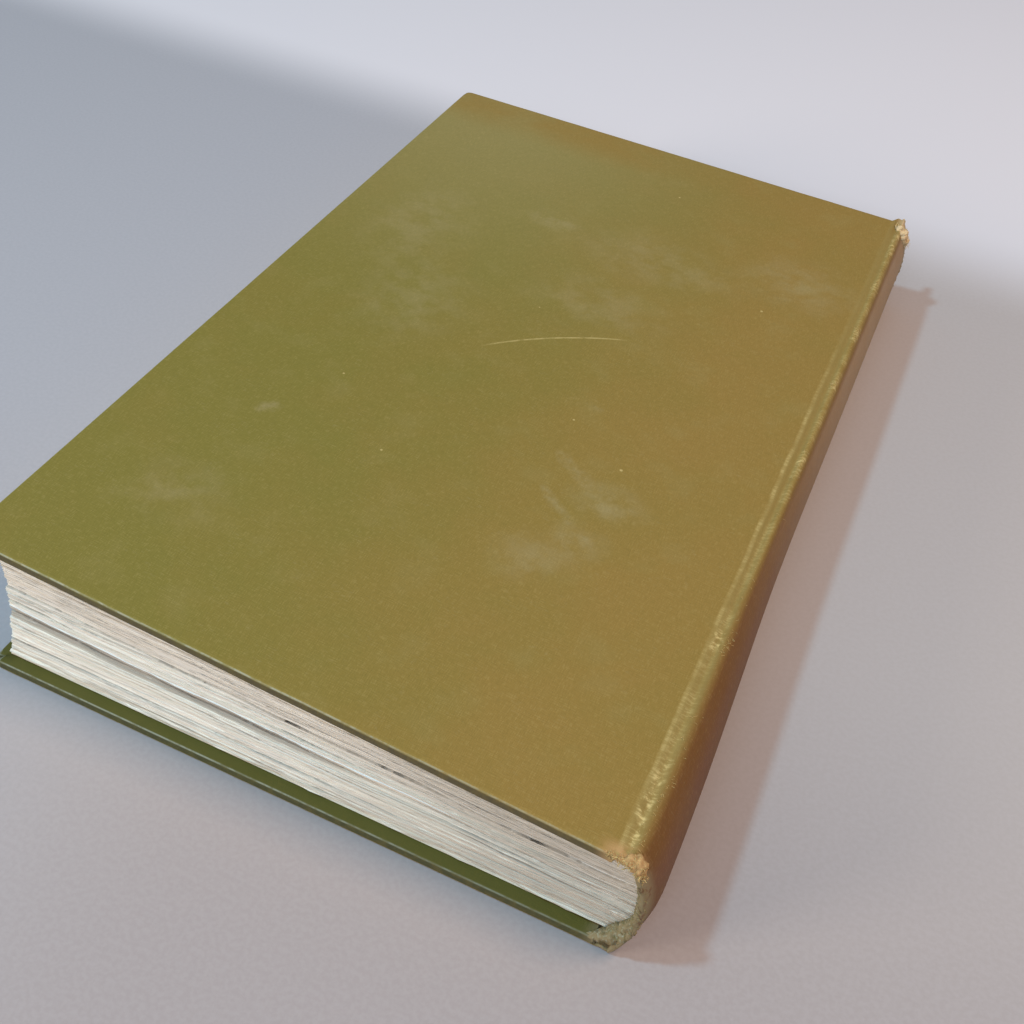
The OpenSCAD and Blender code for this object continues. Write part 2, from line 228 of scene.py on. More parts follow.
class StageSettings(bpy.types.PropertyGroup):
    """Floor, light and camera."""

    # Painted light: the floor's colours copy the fall of light across the table, cool on the left, warm on
    # the right, dim in front and bright at the back
    floor_left: colour("Floor, left", "Colour of the floor on the left", srgb(171, 171, 178))
    floor_right: colour("Floor, right", "Colour of the floor on the right", srgb(186, 178, 176))
    floor_front: colour("Floor, front", "Colour of the floor at the front", srgb(167, 158, 158))
    floor_back: colour("Floor, back", "Colour of the floor at the back", srgb(226, 223, 229))
    sky: colour("Sky", "Colour of the light from all round", (0.75, 0.86, 1.0))
    sky_level: share("Sky level", "Strength of the light from all round", 0.3, 0, 3)
    key: colour("Key", "Colour of the window light", (0.36, 0.76, 1.0))
    key_power: watts("Key power", "Power of the window light", 8.4)
    key_size: length("Key size", "Width of the window light", 110)
    key_distance: length("Key distance", "Distance of the window light", 1500)
    key_way: direction("Key direction", "Way to the window light", (-0.41, -0.33, 1))
    warm: colour("Warm", "Colour of the soft lamp above", (1.0, 0.67, 0.42))
    warm_power: watts("Warm power", "Power of the soft lamp above", 9.2)
    warm_size: length("Warm size", "Width of the soft lamp above", 500)
    warm_distance: length("Warm distance", "Distance of the soft lamp above", 1400)
    warm_way: direction("Warm direction", "Way to the soft lamp above", (0.45, 0.04, 0.87))
    fill: colour("Fill", "Colour of the lamp beside the tail", (1.0, 0.85, 0.68))
    fill_power: watts("Fill power", "Power of the lamp beside the tail", 7.6)
    fill_size: length("Fill size", "Width of the lamp beside the tail", 470)
    fill_distance: length("Fill distance", "Distance of the lamp beside the tail", 1400)
    fill_way: direction("Fill direction", "Way to the lamp beside the tail", (-0.55, -0.65, 0.28))
    front: colour("Front", "Colour of the soft light in front", (0.68, 0.82, 1.0))
    front_power: watts("Front power", "Power of the soft light in front", 4.8)
    front_size: length("Front size", "Width of the soft light in front", 700)
    front_distance: length("Front distance", "Distance of the soft light in front", 1400)
    front_way: direction("Front direction", "Way to the soft light in front", (0.1, -0.8, 0.6))
    lens: FloatProperty(
        name="Lens", description="Focal length of the camera", default=46.15, subtype="DISTANCE_CAMERA"
    )
    camera_place: FloatVectorProperty(
        name="Camera",
        description="Where the camera stands",
        default=(0.09206, -0.26149, 0.22721),
        subtype="TRANSLATION",
        unit="LENGTH",
    )
    camera_turn: FloatVectorProperty(
        name="Camera turn",
        description="How the camera is turned",
        default=[math.radians(angle) for angle in (52.7017, -0.1929, 28.1275)],
        subtype="EULER",
        unit="ROTATION",
    )
    camera_shift: FloatVectorProperty(
        name="Camera shift", description="Shift of the picture", default=(0.14095, -0.10862), size=2
    )


# Section of the case, in metres: x across the book and the height above the table


def leg(long, short):
    """The other leg of a right triangle."""
    return math.sqrt(max(long * long - short * short, 0))


def heading(start, end):
    return math.atan2(end.y - start.y, end.x - start.x)


def left_crossing(a, from_a, b, from_b):
    """The point at those distances from a and b that lies on the fore-edge side."""
    gap = (b - a).length
    way = (b - a) / gap
    along = (from_a**2 - from_b**2 + gap**2) / (2 * gap)
    return a + way * along + leg(from_a, along) * Vector((-way.y, way.x))


def ray(angle):
    return Vector((math.cos(angle), math.sin(angle)))


def smooth(value, low, high):
    """Rises smoothly from 0 at low to 1 at high, or falls where high is the smaller."""
    part = min(max((value - low) / (high - low), 0), 1)
    return part * part * (3 - 2 * part)


def straight(start, way, reach, facing):
    """A straight stretch, as its length and a function from distance to a point and the way it faces."""
    return reach, lambda distance: (start + way * distance, facing)


def curved(centre, r, start, end, facing):
    """A round stretch between two angles. Its outer side looks away from the centre where facing is 1."""
    turn = 1 if end > start else -1

    def at(distance):
        out = ray(start + turn * distance / r)
        return centre + out * r, out * facing

    return abs(end - start) * r, at


class Section:
    """Stretches joined end to end, with their bends rounded off."""

    def __init__(self, stretches, softness):
        self.stretches = stretches
        self.softness = softness
        self.starts = [sum(s[0] for s in stretches[:i]) for i in range(len(stretches) + 1)]

    def sharp(self, distance):
        for start, (reach, at) in zip(self.starts, self.stretches[:-1]):
            if distance <= start + reach:
                return at(distance - start)
        return self.stretches[-1][1](distance - self.starts[-2])

    def at(self, distance):
        """The point at a distance along the section, and the way that the cloth's outer side faces."""
        found = [self.sharp(distance + step * self.softness) for step in (-1, -0.5, 0, 0.5, 1)]
        point = sum((f[0] for f in found), Vector((0, 0))) / len(found)
        return point, sum((f[1] for f in found), Vector((0, 0))).normalized()


class Book:
    """The places that the case and the leaves share, worked out from the frame and the sizes."""

    def __init__(self, case, pages):
        joints = {joint["name"]: joint["pos_m"] for joint in frame["joints"]}
        self.case, self.pages = case, pages
        self.front_axis = Vector((joints["front_joint"][0], joints["front_joint"][2]))
        self.back_axis = Vector((joints["back_joint"][0], joints["back_joint"][2]))
        self.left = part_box("front_cover_cloth")[0].x
        self.half_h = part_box("front_cover_cloth")[1].y
        self.lift = case.groove_r - case.groove_depth
        self.groove_half = leg(case.groove_r, self.lift)
        self.front_edge = case.front_flat + self.groove_half
        self.back_edge = case.back_flat + self.groove_half
        self.cover_w = self.front_axis.x - self.front_edge - self.left
        self.joint_z = self.back_axis.y - self.lift
        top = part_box("back_cover_cloth")[1].z
        self.tilt = math.asin((top - self.joint_z) / (self.cover_w + self.back_edge))
        self.towards_spine = Vector((math.cos(self.tilt), -math.sin(self.tilt)))
        self.inward = Vector((-math.sin(self.tilt), -math.cos(self.tilt)))
        self.rim_t = case.board_t + 2 * case.cloth_t
        self.place_ridges()
        self.place_pages()

    def place_ridges(self):
        case = self.case
        rise = case.front_ridge_r + self.lift
        self.front_ridge = self.front_axis + Vector((leg(case.front_ridge_r + case.groove_r, rise), rise))
        ridge_z = self.joint_z + case.back_ridge_rise - case.back_ridge_r
        reach = leg(case.back_ridge_r + case.groove_r, self.back_axis.y - ridge_z)
        self.back_ridge = Vector((self.back_axis.x + reach, ridge_z))
        from_front, from_back = case.spine_r - case.front_ridge_r, case.spine_r - case.back_ridge_r
        self.spine_c = left_crossing(self.front_ridge, from_front, self.back_ridge, from_back)
        self.front_turn = heading(self.front_axis, self.front_ridge)
        self.back_turn = heading(self.back_axis, self.back_ridge)
        self.spine_low = heading(self.spine_c, self.front_ridge)
        self.spine_high = heading(self.spine_c, self.back_ridge)

    def place_pages(self):
        case, pages = self.case, self.pages
        self.cover_in = self.rim_t + pages.paper_t
        self.pages_in = self.cover_in + pages.cover_gap + pages.paper_t
        self.pages_half = self.half_h - pages.end_square
        self.fold_r = case.spine_r - pages.back_layers
        self.front_start = Vector((self.left + self.cover_w + pages.shoulder_gap, self.pages_in))
        start = self.back_point(-self.back_edge, self.lift + self.pages_in)
        self.back_start = start + pages.shoulder_gap * Vector((1, -math.tan(self.tilt)))
        low = self.front_start.y - pages.shoulder - self.spine_c.y
        high = self.back_start.y + pages.shoulder - self.spine_c.y
        self.fold_low = math.asin(low / self.fold_r)
        self.fold_high = math.asin(high / self.fold_r)

    def sunk(self, x, y):
        """Where x lies on the worn spine, which is sunk towards its head and fuller near its tail."""
        case, from_tail = self.case, y + self.half_h
        sink = case.spine_sink * smooth(from_tail, 10 * MM, 120 * MM)
        sink += case.head_sink * smooth(from_tail, 150 * MM, 250 * MM)
        sink -= case.tail_swell * smooth(from_tail, 0, 9 * MM) * smooth(from_tail, 95 * MM, 20 * MM)
        sink += case.end_tuck * smooth(from_tail, 5 * MM, 0)
        return x - sink * max(x - self.back_axis.x, 0)

    def back_point(self, x, inward):
        """A point of the back cover's own frame, whose origin is on the joint's axis."""
        return self.back_axis + self.towards_spine * x + self.inward * inward

    def back_section(self):
        """The cloth's outer face from the back cover's fore-edge over the spine to the front ridge's foot."""
        case = self.case
        start = self.back_point(-self.cover_w - self.back_edge, self.lift)
        meeting = self.back_point(-self.groove_half, self.lift)
        reach = self.cover_w + self.back_edge - self.groove_half
        groove_start = heading(self.back_axis, meeting)
        foot = -math.pi / 2
        return Section(
            [
                straight(start, self.towards_spine, reach, -self.inward),
                curved(self.back_axis, case.groove_r, groove_start, self.back_turn, -1),
                curved(self.back_ridge, case.back_ridge_r, self.back_turn + math.pi, self.spine_high, 1),
                curved(self.spine_c, case.spine_r, self.spine_high, self.spine_low, 1),
                curved(self.front_ridge, case.front_ridge_r, self.spine_low, foot, 1),
            ],
            case.softness,
        )

    def front_section(self):
        """The cloth's outer face from the front cover's fore-edge to the front ridge's foot."""
        case = self.case
        reach = self.cover_w + self.front_edge - self.groove_half
        meeting = self.front_axis + Vector((-self.groove_half, self.lift))
        groove_start = heading(self.front_axis, meeting)
        foot = 1.5 * math.pi
        return Section(
            [
                straight(Vector((self.left, 0)), Vector((1, 0)), reach, Vector((0, -1))),
                curved(self.front_axis, case.groove_r, groove_start, self.front_turn, -1),
                curved(self.front_ridge, case.front_ridge_r, self.front_turn + math.pi, foot, 1),
            ],
            case.softness,
        )

    def page_height(self, level, x):
        """Height of the boundary below gathering number level at x, between the covers."""
        top = self.back_start.y - (x - self.back_start.x) * math.tan(self.tilt)
        return self.front_start.y + (top - self.front_start.y) * level / self.pages.gatherings

    def page_start(self, level):
        """Where that boundary starts to turn towards the rounded back."""
        x = self.front_start.x + (self.back_start.x - self.front_start.x) * level / self.pages.gatherings
        return Vector((x, self.page_height(level, x)))

    def fold_point(self, level):
        angle = self.fold_low + (self.fold_high - self.fold_low) * level / self.pages.gatherings
        crest = math.sin(math.pi * (level % 1))
        return self.spine_c + ray(angle) * (self.fold_r - self.pages.fold_bulge * (1 - crest))


# Making meshes and objects


def spread(stops):
    """Values from stop to stop. Each stop is a value and the number of steps that lead to it."""
    values = [stops[0][0]]
    for value, steps in stops[1:]:
        start = values[-1]
        values += [start + (value - start) * (i + 1) / steps for i in range(steps)]
    return values


def flat_sheet(across, along):
    """A flat sheet with those grid lines, in metres."""
    bm = bmesh.new()
    bmesh.ops.create_grid(bm, x_segments=len(across) - 1, y_segments=len(along) - 1, size=0.5)
    for vert in bm.verts:
        i = round((vert.co.x + 0.5) * (len(across) - 1))
        j = round((vert.co.y + 0.5) * (len(along) - 1))
        vert.co = (across[i], along[j], 0)
    return bm


def keep_flat_map(bm):
    """Keeps each point's place on the flat sheet as its UV, in metres, so that a weave follows the cloth."""
    flat = bm.loops.layers.uv.new("flat")
    for face in bm.faces:
        for loop in face.loops:
            loop[flat].uv = loop.vert.co.xy


def fold_sheet(bm, place, thickness, faces_down=False):
    """Moves the flat sheet's points to their places and gives the sheet its thickness, inwards."""
    for vert in bm.verts:
        vert.co = place(vert.co.x, vert.co.y)
    if faces_down:
        bmesh.ops.reverse_faces(bm, faces=bm.faces[:])
    thicken(bm, thickness)
    for vert in bm.verts:
        vert.co.z = max(vert.co.z, 0)


def thicken(bm, thickness):
    """A second wall inside the sheet. Each point goes straight in, so that tight folds stay whole."""
    bm.normal_update()
    order = bm.verts.layers.int.new("order")
    inwards = []
    for number, vert in enumerate(bm.verts):
        vert[order] = number
        inwards.append(vert.normal * -thickness)
    made = bmesh.ops.extrude_face_region(bm, geom=bm.faces[:])
    for item in made["geom"]:
        if isinstance(item, bmesh.types.BMVert):
            item.co += inwards[item[order]]
    bm.verts.layers.int.remove(order)
    bmesh.ops.recalc_face_normals(bm, faces=bm.faces[:])


def shown(name, bm, material, smooth_faces=True):
    """An object made of the finished mesh, with its normals outwards."""
    mesh = bpy.data.meshes.new(name)
    bm.to_mesh(mesh)
    bm.free()
    if smooth_faces:
        mesh.shade_smooth()
    mesh.materials.append(material)
    piece = bpy.data.objects.new(name, mesh)
    bpy.context.scene.collection.objects.link(piece)
    return piece


# Materials


class Finish:
    """A material that is built up from named measures of the surface."""

    def __init__(self, name, roughness, specular=0.3):
        self.material = bpy.data.materials.new(name)
        self.material.use_nodes = True
        self.tree = self.material.node_tree
        self.shader = self.tree.nodes["Principled BSDF"]
        self.shader.inputs["Roughness"].default_value = roughness
        self.shader.inputs["Specular IOR Level"].default_value = specular
        self.heights = []

    def feed(self, socket, value):
        if isinstance(value, bpy.types.NodeSocket):
            self.tree.links.new(value, socket)
        elif socket.type == "RGBA":
            socket.default_value = (*tuple(value)[:3], 1)
        else:
            socket.default_value = value

    def node(self, kind, inputs=(), **settings):
        made = self.tree.nodes.new(kind)
        for key, value in settings.items():
            setattr(made, key, value)
        for key, value in dict(inputs).items():
            self.feed(made.inputs[key], value)
        return made

    def calc(self, operation, *values):
        made = self.node("ShaderNodeMath", operation=operation)
        for socket, value in zip(made.inputs, values):
            self.feed(socket, value)
        return made.outputs[0]

    def product(self, first, *others):
        for other in others:
            first = self.calc("MULTIPLY", first, other)
        return first

    def hypotenuse(self, x, y):
        return self.calc("SQRT", self.calc("ADD", self.calc("POWER", x, 2.0), self.calc("POWER", y, 2.0)))

    def axes(self, where):
        return self.node("ShaderNodeSeparateXYZ", {0: where}).outputs

    def object_place(self):
        return self.node("ShaderNodeTexCoord").outputs["Object"]

    def flat_place(self):
        return self.node("ShaderNodeUVMap", uv_map="flat").outputs["UV"]

    def stretched(self, where, scale):
        """The place with each axis scaled, to draw a grain out along one of them."""
        return self.node("ShaderNodeMapping", {"Vector": where, "Scale": scale}).outputs[0]

    def grain(self, where, scale, detail=2.0, roughness=0.5):
        inputs = {"Vector": where, "Scale": scale, "Detail": detail, "Roughness": roughness}
        return self.node("ShaderNodeTexNoise", inputs).outputs["Fac"]

    def ramp(self, value, low, high, start=0.0, end=1.0):
        inputs = {"Value": value, "From Min": low, "From Max": high, "To Min": start, "To Max": end}
        return self.node("ShaderNodeMapRange", inputs, interpolation_type="SMOOTHSTEP").outputs["Result"]

    def band(self, value, centre, half_width, softness):
        """1 within half_width of the centre, falling to 0 over softness."""
        away = self.calc("ABSOLUTE", self.calc("SUBTRACT", value, centre))
        return self.ramp(away, half_width, half_width + softness, 1.0, 0.0)

    def mix(self, share_of_b, a, b):
        made = self.node("ShaderNodeMix", data_type="RGBA", clamp_factor=True)
        self.feed(made.inputs[0], share_of_b)
        self.feed(made.inputs[6], a)
        self.feed(made.inputs[7], b)
        return made.outputs[2]

    def paint(self, colour_value):
        self.feed(self.shader.inputs["Base Color"], colour_value)

    def emboss(self, height, distance, strength=1.0):
        """Adds a bump of that depth in metres."""
        inputs = {"Height": height, "Distance": distance, "Strength": strength}
        made = self.node("ShaderNodeBump", inputs)
        if self.heights:
            self.feed(made.inputs["Normal"], self.heights[-1])
        self.heights.append(made.outputs["Normal"])
        self.feed(self.shader.inputs["Normal"], made.outputs["Normal"])


# Wear on the back cover, in millimetres from the fore-edge and from the middle of the height
# Rubbed streaks: both ends, width and strength
STREAKS = [
    (98, -33, 106, -38.5, 2.8, 0.4),
    (98, -45, 106.5, -52.5, 2, 0.45),
    (30, -56, 32, -54, 2.6, 0.5),
    (97, -12, 99, -12, 2, 0.3),
]
# Soft hazes: middle, both radii and strength
HAZES = [
    (112, -42.5, 10, 8, 0.55),
    (111, -57, 7, 7, 0.6),
    (104, -67, 10, 9, 0.4),
    (128, 72, 18, 16, 0.4),
    (84, 30, 22, 16, 0.3),
    (57, 64, 9, 6, 0.5),
    (40, 5, 18, 22, 0.3),
    (30, -90, 14, 12, 0.3),
    (90, 60, 26, 14, 0.35),
    (24, 40, 16, 30, 0.3),
]
# Small bright specks, where threads have lost their colour: place and radius
SPECKS = [
    (84, 99, 0.4),
    (61, -54, 0.4),
    (40, -34, 0.4),
    (95, -19, 0.4),
    (122, 53, 0.5),
    (70, 20, 0.3),
    (111, -30, 0.5),
]
# Three points of the long curved scratch
SCRATCH = [(64.4, -3.8), (80, 10.3), (96.5, 19.8)]
# Places along the back ridge where it is rubbed through: distance from the middle and reach
RIDGE_SPOTS = [(-68, 4), (-4, 5), (30, 3.5), (57, 5), (84, 4), (112, 12), (-113, 15)]
WEAVE_PITCH = 0.42 * MM
MULL_PITCH = 0.9 * MM


def circle_through(a, b, c):
    """Centre and radius of the circle through three points of a plane."""
    d = 2 * (a.x * (b.y - c.y) + b.x * (c.y - a.y) + c.x * (a.y - b.y))
    sq = [p.x**2 + p.y**2 for p in (a, b, c)]
    x = (sq[0] * (b.y - c.y) + sq[1] * (c.y - a.y) + sq[2] * (a.y - b.y)) / d
    y = (sq[0] * (c.x - b.x) + sq[1] * (a.x - c.x) + sq[2] * (b.x - a.x)) / d
    return (x, y), (a - Vector((x, y))).length


class BookCloth(Finish):
    """Book cloth by its place on the flat sheet: faded, woven, rubbed at its edges, frayed at the spine."""

    def __init__(self, name, colours, book, spine_from, on_top):
        super().__init__(name, 0.74, 0.3)
        self.colours, self.half_h, self.joint_at = colours, book.half_h, book.cover_w
        self.spine_from, self.on_top = spine_from, on_top
        self.where = self.flat_place()
        self.across, self.along = self.axes(self.where)[0:2]
        self.beyond = self.calc("SUBTRACT", self.calc("ABSOLUTE", self.along), book.half_h)
        self.past = self.calc("MAXIMUM", self.beyond, self.calc("MULTIPLY", self.across, -1.0))
        # The faded and rubbed parts lie nearer the groove towards the tail
        shift = self.ramp(self.along, 20 * MM, -80 * MM, -0.4 * MM, 2.2 * MM)
        self.shifted = self.calc("ADD", self.across, shift)
        self.mottle = self.grain(self.where, 28, 4, 0.6)
        self.blotch = self.grain(self.where, 90, 3, 0.55)
        self.patchy = self.grain(self.where, 420, 3, 0.6)
        slub = self.grain(self.stretched(self.where, (500, 3600, 1)), 1, 2)
        cross_slub = self.grain(self.stretched(self.where, (3600, 500, 1)), 1, 2)
        self.threads = self.calc("ADD", slub, cross_slub)
        tone = self.faded()
        if on_top:
            tone = self.worn_marks(tone)
        tone = self.woven(self.spine_fading(tone))
        tone = self.worn_edges(self.rubbed_lines(tone))
        self.paint(self.torn_ends(tone))
        self.raise_weave()
        self.feed(self.shader.inputs["Roughness"], self.ramp(self.blotch, 0.3, 0.7, 0.66, 0.82))

    def faded(self):
        """Olive towards the fore-edge, golden towards the spine and greyed by dust towards the head."""
        colours, across, along = self.colours, self.across, self.along
        uneven = self.ramp(self.mottle, 0.35, 0.65, -0.12, 0.12)
        fading = self.calc("ADD", self.ramp(across, 30 * MM, self.joint_at), uneven)
        tone = self.mix(fading, colours.olive, colours.golden)
        headwards = self.ramp(along, -20 * MM, 130 * MM)
        dust = self.product(headwards, self.ramp(across, 120 * MM, 20 * MM), 0.75)
        tone = self.mix(dust, tone, colours.greyed)
        head_band = self.ramp(along, self.half_h - 24 * MM, self.half_h - 6 * MM)
        head_band = self.product(head_band, self.ramp(self.mottle, 0.35, 0.6, 0.45, 0.9))
        tone = self.mix(head_band, tone, colours.golden)
        return self.mix(self.ramp(self.blotch, 0.5, 0.72, 0, 0.16), tone, colours.greyed)

    def spine_fading(self, tone):
        """The spine has stood in the light: brown, and dulled towards the head; where it turns away, painted
        shade tints it purple-brown.
        """
        colours, across, start = self.colours, self.shifted, self.spine_from
        tone = self.mix(self.ramp(across, start - 1.2 * MM, start + 2.6 * MM), tone, colours.browned)
        # Painted shade, in patches: the spine's outer side is tinted purple-brown where it turns away from
        # the light
        outwards = self.ramp(across, start + 3.5 * MM, start + 10 * MM)
        outwards = self.product(outwards, self.ramp(self.blotch, 0.3, 0.6, 0.4, 0.95))
        tone = self.mix(outwards, tone, colours.shaded_spine_tint)
        headwards = self.ramp(across, start + 0.2 * MM, start + 3 * MM)
        headwards = self.product(headwards, self.ramp(self.along, -80 * MM, 60 * MM), 0.9)
        return self.mix(headwards, tone, colours.dulled)

    def woven(self, tone):
        """Single threads stand out, some bleached and some unfaded."""
        tone = self.mix(self.ramp(self.threads, 1.02, 1.28, 0, 0.09), tone, self.colours.rubbed)
        return self.mix(self.ramp(self.threads, 0.98, 0.74, 0, 0.12), tone, self.colours.fresh)

    def rubbed_lines(self, tone):
        """Pale lines along the board's edge and the ridge, broken up into single threads."""
        joint_at, spine_from = self.joint_at, self.spine_from
        drift = self.grain(self.stretched(self.where, (1, 60, 1)), 1, 2)
        drift = self.ramp(drift, 0.3, 0.7, -0.15 * MM, 0.15 * MM)
        wandering = self.calc("ADD", self.across, drift)
        on_ridge = self.calc("ADD", self.shifted, drift)
        dashes = self.grain(self.stretched(self.where, (420, 1500, 1)), 1, 3, 0.6)
        dashes = self.ramp(dashes, 0.46, 0.6)
        stretches = self.grain(self.stretched(self.where, (1, 110, 1)), 1, 3, 0.6)
        stretches = self.ramp(stretches, 0.35, 0.65)
        board_line = self.product(
            self.band(wandering, joint_at + 0.4 * MM, 0.12 * MM, 0.6 * MM),
            self.ramp(dashes, 0, 1, 0.5, 1),
            self.ramp(stretches, 0, 1, 0.15, 0.5),
            self.ramp(self.along, 0, 70 * MM, 1, 0.1),
        )
        rubbed_through = 0.0
        for y, reach in RIDGE_SPOTS:
            spot = self.band(self.along, y * MM, 0.3 * reach * MM, reach * MM)
            rubbed_through = self.calc("MAXIMUM", rubbed_through, spot)
        rubbed_through = self.product(rubbed_through, self.ramp(self.patchy, 0.4, 0.6))
        ridge_line = self.product(
            self.band(on_ridge, spine_from - 1.4 * MM, 0.6 * MM, 1.4 * MM),
            self.ramp(dashes, 0, 1, 0.3, 1),
            self.calc("MAXIMUM", self.ramp(stretches, 0, 1, 0.08, 0.4), rubbed_through),
        )
        # Dust in the joint's groove, partly painted light that offsets the groove's shade
        groove = self.band(self.across, 0.5 * (joint_at + spine_from) - 0.6 * MM, 1.2 * MM, 1.2 * MM)
        tone = self.mix(self.calc("MULTIPLY", groove, 0.35), tone, self.colours.groove)
        lines = self.calc("MAXIMUM", board_line, ridge_line)
        return self.mix(self.calc("MULTIPLY", lines, 0.9), tone, self.colours.rubbed)

    def worn_edges(self, tone):
        """Rubbed lines along both rims of a board's edge, painted shade on the edge face between them,
        unfaded cloth inside.
        """
        colours, past, across = self.colours, self.past, self.across
        edge_shade_tint = colours.edge_shade if self.on_top else colours.shaded
        # Painted shade on the board's edge face between the two rims, broken up in patches
        edge_shade = self.band(past, 1.35 * MM, 0.8 * MM, 0.6 * MM)
        edge_shade = self.product(edge_shade, self.ramp(self.patchy, 0.35, 0.6, 0.75, 0.95))
        tone = self.mix(edge_shade, tone, edge_shade_tint)
        tone = self.mix(self.ramp(past, 1.9 * MM, 2.4 * MM), tone, colours.fresh)
        outer_rim = self.band(past, 0, 0.06 * MM, 0.26 * MM)
        inner_rim = self.band(past, 2.05 * MM, 0.04 * MM, 0.24 * MM)
        inner_rim = self.calc("MULTIPLY", inner_rim, 0.3 if self.on_top else 0.8)
        rims = self.product(
            self.calc("MAXIMUM", outer_rim, inner_rim),
            self.ramp(self.patchy, 0.35, 0.62, 0.25, 0.8),
            self.ramp(across, self.joint_at + 1 * MM, self.joint_at - 1 * MM),
            self.ramp(across, 60 * MM, 130 * MM, 1, 0.55),
        )
        return self.mix(rims, tone, colours.worn_edge)

    def torn_ends(self, tone):
        """The spine's frayed ends, buff at the back ridge and greenish grey round the rest."""
        colours, start = self.colours, self.spine_from
        # The torn patch reaches on to the cover at the tail, and only to the ridge at the head
        across = self.calc("SUBTRACT", self.across, self.ramp(self.along, -100 * MM, 100 * MM, 0, 4.5 * MM))
        torn = self.product(
            self.ramp(across, self.joint_at - 4 * MM, self.joint_at + 1.2 * MM),
            self.ramp(self.beyond, -4.2 * MM, -1 * MM),
            self.ramp(self.patchy, 0.34, 0.5),
        )
        if not self.on_top:
            return self.mix(torn, tone, colours.ring)
        buff = self.mix(self.ramp(self.along, -100 * MM, 100 * MM), colours.frayed, colours.bleached)
        off_ridge = self.ramp(self.across, start + 0.6 * MM, start + 2.6 * MM)
        return self.mix(torn, tone, self.mix(off_ridge, buff, colours.ring))

    def raise_weave(self):
        """The weave's relief, with thicker threads, lint and soft dents."""
        turns = 2 * math.pi / WEAVE_PITCH
        warp = self.calc("SINE", self.calc("MULTIPLY", self.across, turns))
        weft = self.calc("SINE", self.calc("MULTIPLY", self.along, turns))
        self.emboss(self.calc("MULTIPLY", warp, weft), 0.04 * MM, 0.25)
        self.emboss(self.threads, 0.12 * MM, 0.4)
        self.emboss(self.grain(self.where, 1500, 2, 0.6), 0.06 * MM, 0.4)
        self.emboss(self.mottle, 0.6 * MM, 0.3)

    def away_from(self, x, y):
        """Distances across and along from a place on the flat sheet."""
        return self.calc("SUBTRACT", self.across, x), self.calc("SUBTRACT", self.along, y)

    def worn_marks(self, tone):
        """Streaks, hazes, specks, fine abrasion and the scratch on the back cover's face."""
        colours = self.colours
        broken = self.grain(self.where, 380, 4, 0.7)
        ragged = self.grain(self.where, 130, 3, 0.6)
        for x0, y0, x1, y1, width, strength in STREAKS:
            run_x, run_y = (x1 - x0) * MM, (y1 - y0) * MM
            off_x, off_y = self.away_from(x0 * MM, y0 * MM)
            dot = self.calc("ADD", self.product(off_x, run_x), self.product(off_y, run_y))
            part = self.calc("DIVIDE", dot, run_x**2 + run_y**2)
            part = self.node("ShaderNodeClamp", {0: part}).outputs[0]
            away_x = self.calc("SUBTRACT", off_x, self.calc("MULTIPLY", part, run_x))
            away_y = self.calc("SUBTRACT", off_y, self.calc("MULTIPLY", part, run_y))
            uneven = self.ramp(ragged, 0.3, 0.7, -0.3 * width * MM, 0.3 * width * MM)
            away = self.calc("ADD", self.hypotenuse(away_x, away_y), uneven)
            patches = self.ramp(broken, 0.35, 0.65, 0.2, 1)
            mark = self.product(self.ramp(away, width * MM, 0), patches, strength)
            tone = self.mix(mark, tone, colours.bloom)
        for x, y, reach_x, reach_y, strength in HAZES:
            off_x, off_y = self.away_from(x * MM, y * MM)
            off_x = self.calc("DIVIDE", off_x, reach_x * MM)
            off_y = self.calc("DIVIDE", off_y, reach_y * MM)
            inside = self.ramp(self.hypotenuse(off_x, off_y), 1.2, 0.1)
            patches = self.ramp(ragged, 0.35, 0.65, 0.1, 1)
            tone = self.mix(self.product(inside, patches, strength), tone, colours.bloom)
        for x, y, r in SPECKS:
            away = self.hypotenuse(*self.away_from(x * MM, y * MM))
            tone = self.mix(self.ramp(away, r * MM, 0.4 * r * MM, 0, 0.6), tone, colours.rubbed)
        flecks = self.grain(self.stretched(self.where, (700, 1900, 1)), 1, 3, 0.6)
        flecks = self.product(self.ramp(flecks, 0.56, 0.68), self.ramp(ragged, 0.45, 0.65), 0.2)
        tone = self.mix(flecks, tone, colours.bloom)
        # The scratch is part of a wide circle
        centre, r = circle_through(*(Vector((x * MM, y * MM)) for x, y in SCRATCH))
        off_x, off_y = self.away_from(*centre)
        mark = self.product(
            self.band(self.hypotenuse(off_x, off_y), r, 0.05 * MM, 0.4 * MM),
            self.ramp(self.across, 63 * MM, 67 * MM),
            self.ramp(self.across, 97.5 * MM, 90 * MM),
            self.ramp(off_y, 0, 1 * MM),
            self.ramp(broken, 0.35, 0.6, 0.1, 0.5),
        )
        return self.mix(mark, tone, colours.rubbed)


